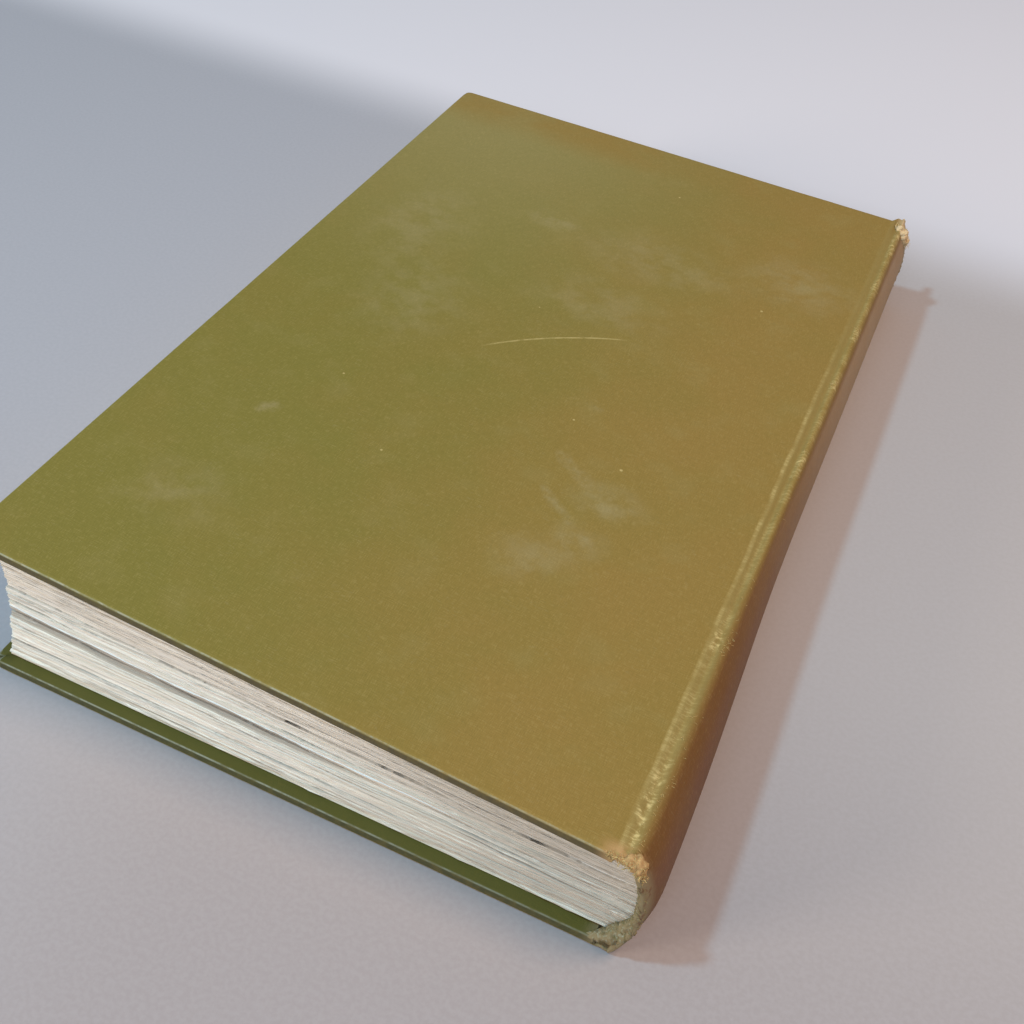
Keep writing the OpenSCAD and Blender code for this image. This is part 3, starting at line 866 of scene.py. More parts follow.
def leaf_edge_finish(colours):
    """Leaves by the tone that each one carries, with the finer leaves and dust as bands and grain, and
    painted shade towards the spine and on the recessed leaves below the white one.
    """
    paper = Finish("leaf_edges", 0.92, 0.15)
    where = paper.object_place()
    tone = paper.node("ShaderNodeAttribute", attribute_name="tone").outputs["Fac"]
    brightness = paper.node("ShaderNodeAttribute", attribute_name="bright").outputs["Fac"]
    layers = paper.grain(paper.stretched(where, (12, 12, 5200)), 1, 3, 0.6)
    clumps = paper.grain(paper.stretched(where, (50, 50, 900)), 1, 3, 0.6)
    stain = paper.grain(where, 60, 4, 0.6)
    x = paper.axes(where)[0]
    base = paper.mix(tone, colours.cream, colours.age_tone_and_shade)
    # Painted shade: the leaves' ends grow more toned and greyer towards the spine, as the light falls off
    # across the tail end
    base = paper.mix(paper.ramp(x, -15 * MM, 65 * MM, 0, 0.85), base, colours.age_tone_and_shade)
    base = paper.mix(paper.ramp(x, 0, 70 * MM, 0, 0.42), base, colours.dust_and_shade)
    # A tone of 2 marks the leaves below the white one, painted grey as the shade of their recess
    dust = paper.product(paper.ramp(tone, 0.9, 1.7), paper.ramp(layers, 0.6, 0.4, 0.5, 0.9))
    base = paper.mix(dust, base, colours.dust_and_shade)
    base = paper.mix(paper.ramp(clumps, 0.45, 0.75, 0, 0.3), base, colours.age_tone_and_shade)
    base = paper.mix(paper.ramp(layers, 0.5, 0.66, 0, 0.5), base, colours.dust_and_shade)
    base = paper.mix(paper.ramp(layers, 0.46, 0.34, 0, 0.6), base, colours.cream)
    base = paper.mix(paper.ramp(stain, 0.55, 0.75, 0, 0.15), base, colours.dust_and_shade)
    base = paper.mix(brightness, base, colours.bright)
    paper.paint(base)
    paper.emboss(layers, 0.12 * MM, 0.8)
    paper.emboss(paper.grain(where, 2600, 3, 0.6), 0.06 * MM, 0.5)
    return paper.material


def paper_finish(name, colour_value, stained):
    """Plain paper with faint fibres and spots of age."""
    paper = Finish(name, 0.9, 0.2)
    where = paper.object_place()
    fibres = paper.grain(where, 1400, 3, 0.6)
    clouds = paper.grain(where, 45, 4, 0.6)
    spots = paper.grain(where, 240, 2, 0.5)
    base = paper.mix(paper.ramp(clouds, 0.4, 0.7, 0, 0.45), colour_value, stained)
    base = paper.mix(paper.ramp(spots, 0.68, 0.78, 0, 0.35), base, stained)
    base = paper.mix(paper.ramp(fibres, 0.5, 0.8, 0, 0.15), base, stained)
    paper.paint(base)
    paper.emboss(fibres, 0.04 * MM, 0.5)
    paper.emboss(clouds, 0.4 * MM, 0.3)
    return paper.material


def board_finish(name, colours):
    """Grey-brown board, pressed from flecked pulp."""
    board = Finish(name, 0.92, 0.2)
    where = board.object_place()
    flecks = board.grain(where, 900, 3, 0.7)
    layers = board.grain(board.stretched(where, (60, 60, 2500)), 1, 2, 0.5)
    base = board.mix(board.ramp(flecks, 0.42, 0.7, 0, 0.6), colours.board, colours.lining)
    base = board.mix(board.ramp(layers, 0.5, 0.7, 0, 0.4), base, colours.dust_and_shade)
    board.paint(base)
    board.emboss(flecks, 0.08 * MM, 0.6)
    return board.material


def mull_finish(name, colours):
    """Open-weave cotton: a grid of threads with dark glue between them."""
    mull = Finish(name, 0.88, 0.25)
    grid = 0.0
    for axis in mull.axes(mull.object_place()):
        wave = mull.calc("SINE", mull.calc("MULTIPLY", axis, math.pi / MULL_PITCH))
        grid = mull.calc("MAXIMUM", grid, mull.calc("ABSOLUTE", wave))
    mull.paint(mull.mix(mull.ramp(grid, 0.75, 0.92), colours.lining, colours.mull))
    mull.emboss(grid, 0.1 * MM, 0.7)
    return mull.material


def thread_finish(name, colour_value, darker):
    """Twisted thread."""
    thread = Finish(name, 0.8, 0.3)
    where = thread.object_place()
    twist = thread.grain(where, 3200, 2, 0.5)
    thread.paint(thread.mix(thread.ramp(twist, 0.35, 0.65), colour_value, darker))
    thread.emboss(twist, 0.05 * MM, 0.6)
    return thread.material


def matted_finish(name, colour_value, dark, light):
    """Matted, torn threads: pale strands over dark hollows."""
    matted = Finish(name, 0.88, 0.2)
    where = matted.object_place()
    strands = matted.grain(matted.stretched(where, (1500, 2600, 900)), 1, 3, 0.6)
    tufts = matted.grain(where, 700, 3, 0.6)
    base = matted.mix(matted.ramp(tufts, 0.5, 0.3, 0, 0.6), colour_value, dark)
    base = matted.mix(matted.ramp(strands, 0.52, 0.68, 0, 0.6), base, light)
    matted.paint(base)
    matted.emboss(strands, 0.2 * MM, 0.9)
    matted.emboss(tufts, 0.3 * MM, 0.6)
    return matted.material


# Case cloth


class TurnedSheet:
    """Where each point of a flat sheet lies once it is wrapped round a cover or the spine's ends."""

    def __init__(self, section, book, fold_t, wear):
        self.section, self.book, self.fold_t, self.wear = section, book, fold_t, wear
        self.corner_r = book.case.corner_r

    def edge(self, across, along):
        """The nearest point of the outline, the way out there, and the distance past it."""
        side = 1 if along > 0 else -1
        r, half = self.corner_r, self.book.half_h
        if across < r and abs(along) > half - r:
            centre = Vector((r, side * (half - r)))
            off = Vector((across, along)) - centre
            way = off.normalized() if off.length > 0 else Vector((0, side))
            return centre + way * r, way, off.length - r
        if across < r:
            return Vector((0, along)), Vector((-1, 0)), -across
        return Vector((across, side * half)), Vector((0, side)), abs(along) - half

    def wrap(self, across):
        """Flat length from the outline to where the inside's measure starts."""
        return self.fold_t(across) + (math.pi - 4) * self.fold_r(across)

    def fold_r(self, across):
        return min(self.book.case.fold_r, 0.47 * self.fold_t(across))

    def turned(self, past, r, t):
        """How far in from the outline, and how deep below the outer face, the cloth lies past an edge."""
        quarter = r * math.pi / 2
        band = t - 2 * r
        gone = past + r
        if gone < quarter:
            angle = gone / r
            return r * (1 - math.sin(angle)), r * (1 - math.cos(angle))
        if gone < quarter + band:
            return 0, r + gone - quarter
        if gone < 2 * quarter + band:
            angle = (gone - quarter - band) / r
            return r * (1 - math.cos(angle)), t - r + r * math.sin(angle)
        return r + gone - 2 * quarter - band, t

    def place(self, across, along):
        nearest, way, past = self.edge(across, along)
        at_x = max(nearest.x, 0)
        r, t = self.fold_r(at_x), self.fold_t(at_x)
        plan, depth = Vector((across, along)), 0
        if past > -r:
            inset, depth = self.turned(past, r, t)
            if inset > r and way.x < -1e-6 and abs(way.y) > 1e-6:
                inset = self.tucked(inset, way)
            plan = nearest - way * inset
            depth = min(depth, t)
        point, facing = self.section.at(plan.x)
        inner = smooth(depth, 0.25 * t, 0.5 * t)
        lifted = point - facing * depth + facing * self.wear.rise(plan.x, plan.y) * (1 - inner)
        lifted += facing * (self.wear.filled(plan.x, plan.y) - self.wear.droop(plan.x, plan.y))
        near_end = smooth(abs(plan.y), self.book.half_h - 4 * MM, self.book.half_h)
        y = plan.y + math.copysign(self.wear.end(plan.x, plan.y) * near_end, plan.y)
        return Vector((self.book.sunk(lifted.x, y), y, lifted.y))

    def tucked(self, inset, way):
        """The corner's tuck reaches in to where the two turn-ins meet, almost at the corner's centre."""
        r, wrap = self.corner_r, self.wrap(0)
        line = (2 * r + wrap) / (abs(way.x) + abs(way.y)) - r - wrap
        return min(inset * 0.96 * r / max(line, 0.05 * MM), 0.96 * r)


class ClothWear:
    """Unevenness of worn cloth: gentle waves, ragged ends at the spine and, on top, a worn head end."""

    def __init__(self, book, seed, waviness, ragged_from, raggedness, groove=None):
        """The groove is given, as its two edges across the sheet, for the cloth whose head end is worn."""
        self.case, self.half_h, self.seed = book.case, book.half_h, Vector((0, 0, seed))
        self.waviness, self.ragged_from, self.raggedness = waviness, ragged_from, raggedness
        self.groove = groove

    def rise(self, across, along):
        broad = noise.noise(Vector((across * 22, along * 22, 0)) + self.seed)
        small = noise.noise(Vector((across * 160, along * 160, 4)) + self.seed)
        return self.waviness * (0.5 + 0.5 * broad + 0.15 * small)

    def end(self, across, along):
        """How far the end of the cloth stands out along the book."""
        side, start = (7 if along > 0 else 3), self.ragged_from
        broad = noise.noise(Vector((across * 60, side, 1)) + self.seed)
        fine = noise.noise(Vector((across * 700, side, 2)) + self.seed)
        at_spine = smooth(across, start - 3 * MM, start + 1 * MM)
        reach = self.waviness * broad + self.raggedness * at_spine * (0.9 * fine - 0.25)
        if self.groove:
            on_ridge = smooth(across, start - 1.8 * MM, start + 0.4 * MM)
            on_ridge *= smooth(across, start + 12 * MM, start + 3 * MM)
            reach -= self.case.head_wear * on_ridge * smooth(along, 0, 1 * MM)
        return reach

    def filled(self, across, along):
        """How far the groove is flattened, a little at the tail and fully at the head."""
        if not self.groove:
            return 0
        low, high = self.groove
        inside = smooth(across, low, 0.5 * (low + high)) * smooth(across, high, 0.5 * (low + high))
        return self.case.groove_fill * inside * (0.4 + 0.6 * smooth(along, -30 * MM, 90 * MM))

    def droop(self, across, along):
        """How far the head end of the ridge is pressed in."""
        if not self.groove:
            return 0
        on_ridge = smooth(across, self.ragged_from - 1.2 * MM, self.ragged_from + 1.2 * MM)
        on_ridge *= smooth(across, self.ragged_from + 9 * MM, self.ragged_from + 3 * MM)
        return self.case.head_droop * on_ridge * smooth(along, self.half_h - 11 * MM, self.half_h)


def case_cloth(name, book, section, fold_t, wear, material, faces_down):
    """The cloth of a cover with all that joins it as far as the section's end."""
    case, t = book.case, book.rim_t
    total = section.starts[-1]
    # Flat distances past an edge: close together round the fold, then wide to the turn-in's end
    turn = spread([(-1.2 * MM, 0), (-0.4 * MM, 2), (t + 0.6 * MM, 16), (t + case.turn_in, 6)])
    half, face_end = book.half_h, book.cover_w - 1 * MM
    outer = [-d for d in reversed(turn)]
    across = outer + spread([(outer[-1], 0), (3.2 * MM, 3), (face_end, 66)])[1:]
    if faces_down:
        across += spread([(face_end, 0), (total, 12)])[1:]
    else:
        across += spread([(face_end, 0), (face_end + 7.5 * MM, 26), (total - 2.4 * MM, 28), (total, 8)])[1:]
    ends = [half + d for d in turn]
    along = [-y for y in reversed(ends)] + spread([(-ends[0], 0), (ends[0], 118)])[1:-1] + ends
    bm = flat_sheet(across, along)
    sheet = TurnedSheet(section, book, fold_t, wear)
    corner = half + sheet.wrap(0)
    for side in (-1, 1):
        geom = bm.verts[:] + bm.edges[:] + bm.faces[:]
        place, facing = (0, side * corner, 0), (-1, side, 0)
        bmesh.ops.bisect_plane(bm, geom=geom, dist=1e-7, plane_co=place, plane_no=facing, clear_outer=True)
    keep_flat_map(bm)
    fold_sheet(bm, sheet.place, case.cloth_t, faces_down)
    return shown(name, bm, material)


class BOOK_OT_case(bpy.types.Operator):
    """Wraps the boards and the spine in worn cloth"""

    bl_idname = "book.case"
    bl_label = "Case cloth"

    def execute(self, context):
        scene = context.scene
        case, colours, raggedness = scene.book_case, scene.book_cloth_colours, scene.book_wear.cap_raggedness
        book = Book(case, scene.book_pages)
        back, front = book.back_section(), book.front_section()
        ridge_start, ridge_end, foot = back.starts[2:5]

        def back_fold(across):
            at_joint = smooth(across, book.cover_w + 0.05 * MM, book.cover_w + 0.7 * MM)
            at_spine = smooth(across, ridge_end, ridge_end + 1.6 * MM)
            at_foot = smooth(across, foot - 1.6 * MM, foot)
            thin = case.joint_fold_t + (case.spine_fold_t - case.joint_fold_t) * (at_spine - at_foot)
            return book.rim_t + (thin - book.rim_t) * at_joint

        def front_fold(across):
            at_joint = smooth(across, book.cover_w + 0.02 * MM, book.cover_w + 0.4 * MM)
            return book.rim_t + (case.joint_fold_t - book.rim_t) * at_joint

        ragged_from = book.cover_w + 2 * MM
        groove = (book.cover_w + 0.6 * MM, ridge_start + 0.8 * MM)
        wear = ClothWear(book, 11.5, case.waviness, ragged_from, raggedness, groove)
        cloth = BookCloth("back_case_cloth", colours, book, ridge_end, True).material
        piece = case_cloth("back_case_cloth", book, back, back_fold, wear, cloth, False)
        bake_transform(piece)
        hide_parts("back_cover_cloth", "spine_cloth")
        wear = ClothWear(book, 47.2, 0.02 * MM, ragged_from - 1 * MM, 0.5 * raggedness)
        cloth = BookCloth("front_case_cloth", colours, book, front.starts[-1] + 1 * MM, False).material
        piece = case_cloth("front_case_cloth", book, front, front_fold, wear, cloth, True)
        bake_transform(piece)
        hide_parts("front_cover_cloth")
        return {"FINISHED"}


# Leaves


def leaf_blank(along_ends, along_fore, kerf_points):
    """A flat leaf one unit each way, with points along its ends, its fore-edge and its back."""
    bm = bmesh.new()
    bmesh.ops.create_grid(bm, x_segments=1, y_segments=1, size=0.5)
    bmesh.ops.translate(bm, verts=bm.verts[:], vec=(0.5, 0.5, 0))
    ends = [e for e in bm.edges if abs(e.verts[0].co.y - e.verts[1].co.y) < 0.5]
    bmesh.ops.subdivide_edges(bm, edges=ends, cuts=along_ends - 1, use_grid_fill=True)
    for x, cuts in ((0, along_fore - 1), (1, kerf_points)):
        edges = [e for e in bm.edges if all(abs(v.co.x - x) < 1e-6 for v in e.verts)]
        bmesh.ops.bisect_edges(bm, edges=edges, cuts=cuts)
    lifted = bmesh.ops.extrude_face_region(bm, geom=bm.faces[:])
    upper = [item for item in lifted["geom"] if isinstance(item, bmesh.types.BMVert)]
    bmesh.ops.translate(bm, verts=upper, vec=(0, 0, 1))
    bmesh.ops.recalc_face_normals(bm, faces=bm.faces[:])
    return bm


class LeafShape:
    """Places a leaf's points between its two boundaries, with a worn, uneven outline."""

    def __init__(self, book, rng):
        pages = book.pages
        self.book, self.pages = book, pages
        self.straight_share = 0.88
        self.kerfs = self.kerf_stations()
        self.white_leaf = round(0.48 * pages.gatherings) * pages.leaves
        self.other_white_leaf = round(0.68 * pages.gatherings) * pages.leaves
        # Offsets at tail, head and fore-edge
        self.gathering_offsets = [[rng.uniform(-1, 1) for _ in range(3)] for _ in range(pages.gatherings)]
        total = pages.gatherings * pages.leaves
        self.leaf_offsets = [[rng.gauss(0, 0.6) for _ in range(3)] for _ in range(total)]

    def kerf_stations(self):
        """Share of the height and depth of each point along the back, which has kerfs for the thread."""
        book, pages = self.book, self.pages
        half, stations = book.pages_half, []
        for row in range(pages.stitch_rows):
            kettle = half - pages.kettle_in
            y = -kettle + 2 * kettle * row / (pages.stitch_rows - 1)
            for step, depth in ((-1, 0), (-0.98, 1), (0.98, 1), (1, 0)):
                stations.append(((y + step * pages.thread_d + half) / (2 * half), depth * pages.thread_d))
        return stations

    def fore_x(self, level):
        pages = self.pages
        inside = level % 1
        part = level / pages.gatherings
        hollow = pages.fore_hollow * math.sin(math.pi * part)
        crept = pages.creep * (1 - math.sin(math.pi * inside))
        return self.book.left + pages.fore_square + pages.fore_lean * part + hollow + crept

    def height(self, leaf, upper, level, x, y):
        """Height of a leaf's lower or upper side, with its waves and the crevices between gatherings."""
        book, pages = self.book, self.pages
        z = book.page_height(level, x)
        middle = math.sin(math.pi * level / pages.gatherings)
        from_ends = book.pages_half - abs(y)
        from_fore = x - book.left - pages.fore_square
        loose = 0.25 + 0.75 * max(math.exp(-from_ends / (20 * MM)), math.exp(-from_fore / (20 * MM)))
        slow = noise.noise(Vector((x * 34, y * 30, level * 0.33)))
        quick = noise.noise(Vector((x * 110, y * 90, level * 0.7 + 9)))
        z += pages.leaf_wave * middle * loose * (slow + 0.55 * quick)
        near_edge = math.exp(-max(min(from_ends, from_fore), 0) / pages.crevice_reach)
        place = leaf % pages.leaves
        if place == 0 and not upper:
            z += 0.5 * pages.crevice * near_edge * self.opening(leaf, x, y)
        if place == pages.leaves - 1 and upper:
            z -= 0.5 * pages.crevice * near_edge * self.opening(leaf + 1, x, y)
        return z

    def opening(self, leaf, x, y):
        """How wide the crevice below that leaf stands open."""
        return max(0.35 + 1.6 * noise.noise(Vector((x * 60, y * 60, leaf))), 0)

    def end_offset(self, leaf, side, x):
        """How far a leaf's tail or head edge stands out."""
        pages = self.pages
        gathering = self.gathering_offsets[leaf // pages.leaves][side]
        own = self.leaf_offsets[leaf][side]
        rough = noise.noise(Vector((x * 700, leaf * 1.7, side * 5)))
        slow = noise.noise(Vector((x * 40, leaf * 0.4, side * 5 + 2)))
        # The lowest leaves are bumped and rougher
        bumped = smooth(leaf, 2 * pages.leaves, 0)
        rough *= 1 + bumped
        gathering += 2.5 * bumped * noise.noise(Vector((x * 90, leaf * 0.2, side)))
        offset = pages.gathering_offset * gathering + pages.leaf_offset * (own + slow)
        offset += pages.raggedness * rough - 0.12 * MM * self.recess_and_shade(leaf, x)
        limit = 0.8 * MM
        return max(min(offset, limit), -limit)

    def brightness(self, leaf, x):
        """One bluish white leaf shows in the fore-edge half, and another one nearer the spine."""
        if leaf == self.white_leaf:
            return 0.9 * smooth(x, 30 * MM, 10 * MM)
        if leaf == self.other_white_leaf:
            return 0.7 * smooth(x, 5 * MM, 30 * MM) * smooth(x, 72 * MM, 60 * MM)
        return 0

    def recess_and_shade(self, leaf, x):
        """Leaves just below the white one lie a little further in, and are painted grey as the shade of that
        recess.
        """
        below = (self.white_leaf - leaf) / self.pages.leaves
        return (0 < below <= 2) * smooth(below, 2.6, 1.4) * smooth(x, 20 * MM, -20 * MM)

    def place(self, leaf, flat):
        """Where a point of the blank goes: x from fore-edge to back, y from tail to head, z 0 or 1."""
        book, pages = self.book, self.pages
        upper = flat.z > 0.5
        level = (leaf + flat.z) / pages.leaves
        start = book.page_start(level)
        y = book.pages_half * (2 * flat.y - 1)
        fore = self.fore_x((leaf + 0.5) / pages.leaves)
        fore += pages.leaf_offset * self.leaf_offsets[leaf][2]
        fore += pages.gathering_offset * self.gathering_offsets[leaf // pages.leaves][2]
        if flat.x < 1e-6:
            fore += pages.raggedness * noise.noise(Vector((y * 600, leaf * 1.3, 3)))
        if flat.x <= self.straight_share:
            x = fore + (start.x - fore) * flat.x / self.straight_share
            z = self.height(leaf, upper, level, x, y)
        else:
            part = (flat.x - self.straight_share) / (1 - self.straight_share)
            fold = book.fold_point(level)
            joined = self.height(leaf, upper, level, start.x, y)
            point = Vector((start.x, joined)).lerp(fold, part)
            x, z = book.sunk(point.x, y), point.y
        if flat.y < 1e-6:
            y -= self.end_offset(leaf, 0, x)
        elif flat.y > 1 - 1e-6:
            y += self.end_offset(leaf, 1, x)
        return Vector((x, y, z))

    def back_place(self, leaf, flat, station):
        """The same for a point along the back, which may lie in a kerf."""
        along, depth = station
        spot = self.place(leaf, Vector((1, along, flat.z)))
        way = Vector((spot.x - self.book.spine_c.x, spot.z - self.book.spine_c.y)).normalized()
        return spot - Vector((way.x, 0, way.y)) * depth


class BOOK_OT_leaves(bpy.types.Operator):
    """Builds the fanned leaves, each with its own ragged edge"""

    bl_idname = "book.leaves"
    bl_label = "Leaves"

    def execute(self, context):
        scene = context.scene
        pages = scene.book_pages
        book = Book(scene.book_case, pages)
        rng = random.Random(18)
        shape = LeafShape(book, rng)
        blank = leaf_blank(72, 76, kerf_points=len(shape.kerfs))
        gathering_tones = [rng.uniform(0, 0.4) for _ in range(pages.gatherings)]
        bm = bmesh.new()
        blank_mesh = bpy.data.meshes.new("leaf_blank")
        blank.to_mesh(blank_mesh)
        blank.free()
        tone = bm.verts.layers.float.new("tone")
        bright = bm.verts.layers.float.new("bright")
        for leaf in range(pages.gatherings * pages.leaves):
            before = len(bm.verts)
            bm.from_mesh(blank_mesh)
            bm.verts.ensure_lookup_table()
            leaf_tone = min(max(gathering_tones[leaf // pages.leaves] + rng.gauss(0, 0.3), 0), 1)
            verts = bm.verts[before:]
            back = {0: [], 1: []}
            for vert in verts:
                x = book.left + vert.co.x * (book.back_start.x - book.left)
                # A tone of 2 paints the shade of the recessed leaves below the white one
                vert[tone] = leaf_tone + (2 - leaf_tone) * shape.recess_and_shade(leaf, x)
                vert[bright] = shape.brightness(leaf, x)
                inside_back = vert.co.x > 1 - 1e-6 and 1e-6 < vert.co.y < 1 - 1e-6
                if inside_back:
                    back[round(vert.co.z)].append(vert)
                else:
                    vert.co = shape.place(leaf, vert.co)
            for row in back.values():
                for vert, station in zip(sorted(row, key=lambda v: v.co.y), shape.kerfs):
                    vert.co = shape.back_place(leaf, vert.co, station)
        bpy.data.meshes.remove(blank_mesh)
        piece = shown("page_leaves", bm, leaf_edge_finish(scene.book_paper_colours), smooth_faces=False)
        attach(piece, "pages_and_spine")
        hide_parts("text_block")
        return {"FINISHED"}


# Layers on the rounded back


def back_layer(node, book, r, thickness, half, material):
    """A layer glued along the rounded spine, sunk in as the spine is. It takes the place of its node."""
    margin = math.radians(3)
    low, high = book.spine_low + margin, book.spine_high - margin
    bm = flat_sheet(spread([(high, 0), (low, 24)]), spread([(-half, 0), (half, 50)]))

    def place(angle, along):
        point = book.spine_c + ray(angle) * r
        return Vector((book.sunk(point.x, along), along, point.y))

    for vert in bm.verts:
        vert.co = place(vert.co.x, vert.co.y)
    bm.normal_update()
    if bm.faces[:][0].normal.x < 0:
        bmesh.ops.reverse_faces(bm, faces=bm.faces[:])
    thicken(bm, thickness)
    piece = shown(f"{node}_layer", bm, material)
    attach(piece, "pages_and_spine")
    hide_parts(node)


class BOOK_OT_linings(bpy.types.Operator):
    """Lays the mull, the lining, the card and the sewing on the sunk spine"""

    bl_idname = "book.linings"
    bl_label = "Linings and sewing"

    def execute(self, context):
        scene = context.scene
        case, pages, colours = scene.book_case, scene.book_pages, scene.book_paper_colours
        book = Book(case, pages)
        inlay_r = case.spine_r - case.cloth_t - pages.glue
        inlay_half = book.half_h - case.cloth_t - case.head_wear - case.head_droop
        mull_r = book.fold_r + pages.mull_t + pages.glue
        mull_half = book.pages_half - pages.mull_short
        lining_r = mull_r + pages.lining_t + pages.glue
        lining_half = book.pages_half - pages.lining_short
        card = board_finish("card", colours)
        lining = paper_finish("lining_paper", colours.lining, colours.board)
        mull = mull_finish("mull_weave", colours)
        back_layer("spine_inlay", book, inlay_r, pages.inlay_t, inlay_half, card)
        back_layer("spine_lining", book, lining_r, pages.lining_t, lining_half, lining)
        back_layer("mull", book, mull_r, pages.mull_t, mull_half, mull)
        self.sew(book, pages, colours)
        return {"FINISHED"}

    def sew(self, book, pages, colours):
        """Stitches across the folds, one in each kerf."""
        kettle = book.pages_half - pages.kettle_in
        r = book.fold_r - pages.fold_bulge - pages.thread_d / 2
        rows = []
        for row in range(pages.stitch_rows):
            y = -kettle + 2 * kettle * row / (pages.stitch_rows - 1)
            angles = spread([(book.fold_low, 0), (book.fold_high, 48)])
            points = [book.spine_c + ray(angle) * r for angle in angles]
            rows.append([Vector((book.sunk(p.x, y), y, p.y)) for p in points])
        linen = thread_finish("sewing_thread", colours.thread, colours.age_tone_and_shade)
        piece = fibre_mesh("sewing", rows, pages.thread_d, linen, 2)
        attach(piece, "pages_and_spine")
        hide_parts("sewing_thread")


# Endpapers


def paper_strip(name, points, half, material):
    """A strip of paper that follows points across the book, from tail to head."""
    up, steps = Vector((0, 1)), 24
    pairs = zip(points, points[1:])
    line = Section([straight(a, (b - a).normalized(), (b - a).length, up) for a, b in pairs], 0.1 * MM)
    total = line.starts[-1]
    bm = flat_sheet([total * i / steps for i in range(steps + 1)], spread([(-half, 0), (half, 60)]))
    keep_flat_map(bm)

    def place(across, along):
        point = line.at(across)[0]
        return Vector((point.x, along, point.y))

    fold_sheet(bm, place, 0.1 * MM)
    return shown(name, bm, material)


class BOOK_OT_endpapers(bpy.types.Operator):
    """Joins each paste-down to its fly-leaf through the joint"""

    bl_idname = "book.endpapers"
    bl_label = "Endpapers"

    def execute(self, context):
        scene = context.scene
        case, pages, colours = scene.book_case, scene.book_pages, scene.book_paper_colours
        book = Book(case, pages)
        paper = paper_finish("endpaper_leaf", colours.endpaper, colours.age_tone_and_shade)
        half = book.pages_half - 0.2 * MM
        sides = (
            ("back", book.back_axis, book.towards_spine, book.inward, book.back_edge),
            ("front", book.front_axis, Vector((1, 0)), Vector((0, 1)), book.front_edge),
        )
        for side, axis, across, inward, edge in sides:

            def at(x, depth):
                return axis + across * x + inward * depth

            under_cloth = case.groove_r + 2 * case.cloth_t + 0.12 * MM
            curl = [ray(math.radians(angle)) * under_cloth for angle in (150, 128, 106, 84)]
            curl = [at(turn.x, turn.y) for turn in curl]
            under_board = at(-edge + 0.06 * MM, book.lift + book.cover_in)
            beside_board = at(-edge + 0.08 * MM, book.lift + 1.5 * MM)
            points = [under_board, beside_board] + (curl if side == "back" else curl[1:])
            strip = paper_strip(f"{side}_endpaper_joint", points, half, paper)
            start, end = at(-edge + 0.2 * MM, 0), at(0.4 * MM, 0)
            start, end = (start.x, 0, start.y), (end.x, 0, end.y)
            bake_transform(strip)
            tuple(start)
            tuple(end)
        return {"FINISHED"}


# Fraying


def fibre_mesh(name, strands, diameter, material, roundness=0):
    """Thin round fibres along lists of points, as one mesh."""
    curve = bpy.data.curves.new(name, "CURVE")
    curve.dimensions = "3D"
    curve.bevel_depth = diameter / 2
    curve.bevel_resolution = roundness
    curve.use_fill_caps = True
    for points in strands:
        spline = curve.splines.new("POLY")
        spline.points.add(len(points) - 1)
        for knot, point in zip(spline.points, points):
            knot.co = (*point, 1)
    rope = bpy.data.objects.new(name + "_curve", curve)
    mesh = bpy.data.meshes.new_from_object(rope)
    bpy.data.objects.remove(rope)
    bpy.data.curves.remove(curve)
    mesh.name = name
    for vert in mesh.vertices:
        vert.co.z = max(vert.co.z, 0)
    mesh.shade_smooth()
    mesh.materials.clear()
    mesh.materials.append(material)
    piece = bpy.data.objects.new(name, mesh)
    bpy.context.scene.collection.objects.link(piece)
    return piece


def strand(rng, root, way, reach, curl, steps=6):
    """One fibre's points, wandering away from its root."""
    points, spot, heading_now = [root], root.copy(), way.normalized()
    for _ in range(steps):
        spot = spot + heading_now * reach / steps
        points.append(spot)
        drift = Vector((rng.gauss(0, curl), rng.gauss(0, curl), rng.gauss(0, curl)))
        heading_now = (heading_now + drift).normalized()
    return points


def frayed_roll(name, stops, lumps, seed, material):
    """A closed, lumpy roll of frayed cloth. Each stop is a point and the roll's radius there."""
    bm = bmesh.new()
    bmesh.ops.create_uvsphere(bm, u_segments=22, v_segments=12 * len(stops), radius=1)
    last = len(stops) - 1

    def along(part):
        i = min(int(part * last), last - 1)
        share_of_next = part * last - i
        (a, r_a), (b, r_b) = stops[i], stops[i + 1]
        return a.lerp(b, share_of_next), r_a + (r_b - r_a) * share_of_next

    for vert in bm.verts:
        height = min(max(vert.co.z, -1), 1)
        part = 0.5 + math.asin(height) / math.pi
        around = math.atan2(vert.co.y, vert.co.x)
        centre, r = along(part)
        way = (along(min(part + 0.02, 1))[0] - along(max(part - 0.02, 0))[0]).normalized()
        side = way.cross(Vector((0, 1, 0))).normalized()
        up = side.cross(way)
        out = side * math.cos(around) + up * math.sin(around)
        spot = centre + out * r
        coarse = noise.noise(spot * 900 + Vector((seed, 0, 0)))
        fine = noise.noise(spot * 2600 + Vector((0, seed, 0)))
        closing = math.sin(math.pi * part) ** 0.35 if 0 < part < 1 else 0
        vert.co = centre + out * r * closing * (1 + lumps * (coarse + 0.5 * fine))
        vert.co.z = max(vert.co.z, 0)
    bmesh.ops.recalc_face_normals(bm, faces=bm.faces[:])
    return shown(name, bm, material)


# The roll of frayed turned-in cloth round a spine's end, in millimetres: distance from the fore-edge,
# height and radius
END_ROLL = [
    (148.9, 25.6, 0.35),
    (149.9, 21.5, 0.7),
    (150.3, 17.5, 0.85),
    (150.2, 14, 0.95),
    (149.6, 11, 1.1),
    (148.6, 8.2, 1.35),
    (147.3, 6, 1.6),
    (145.9, 4.4, 1.75),
    (144.5, 3.2, 1.6),
    (143.1, 2.4, 1.15),
    (141.4, 1.9, 0.7),
    (139.4, 1.7, 0.35),
]
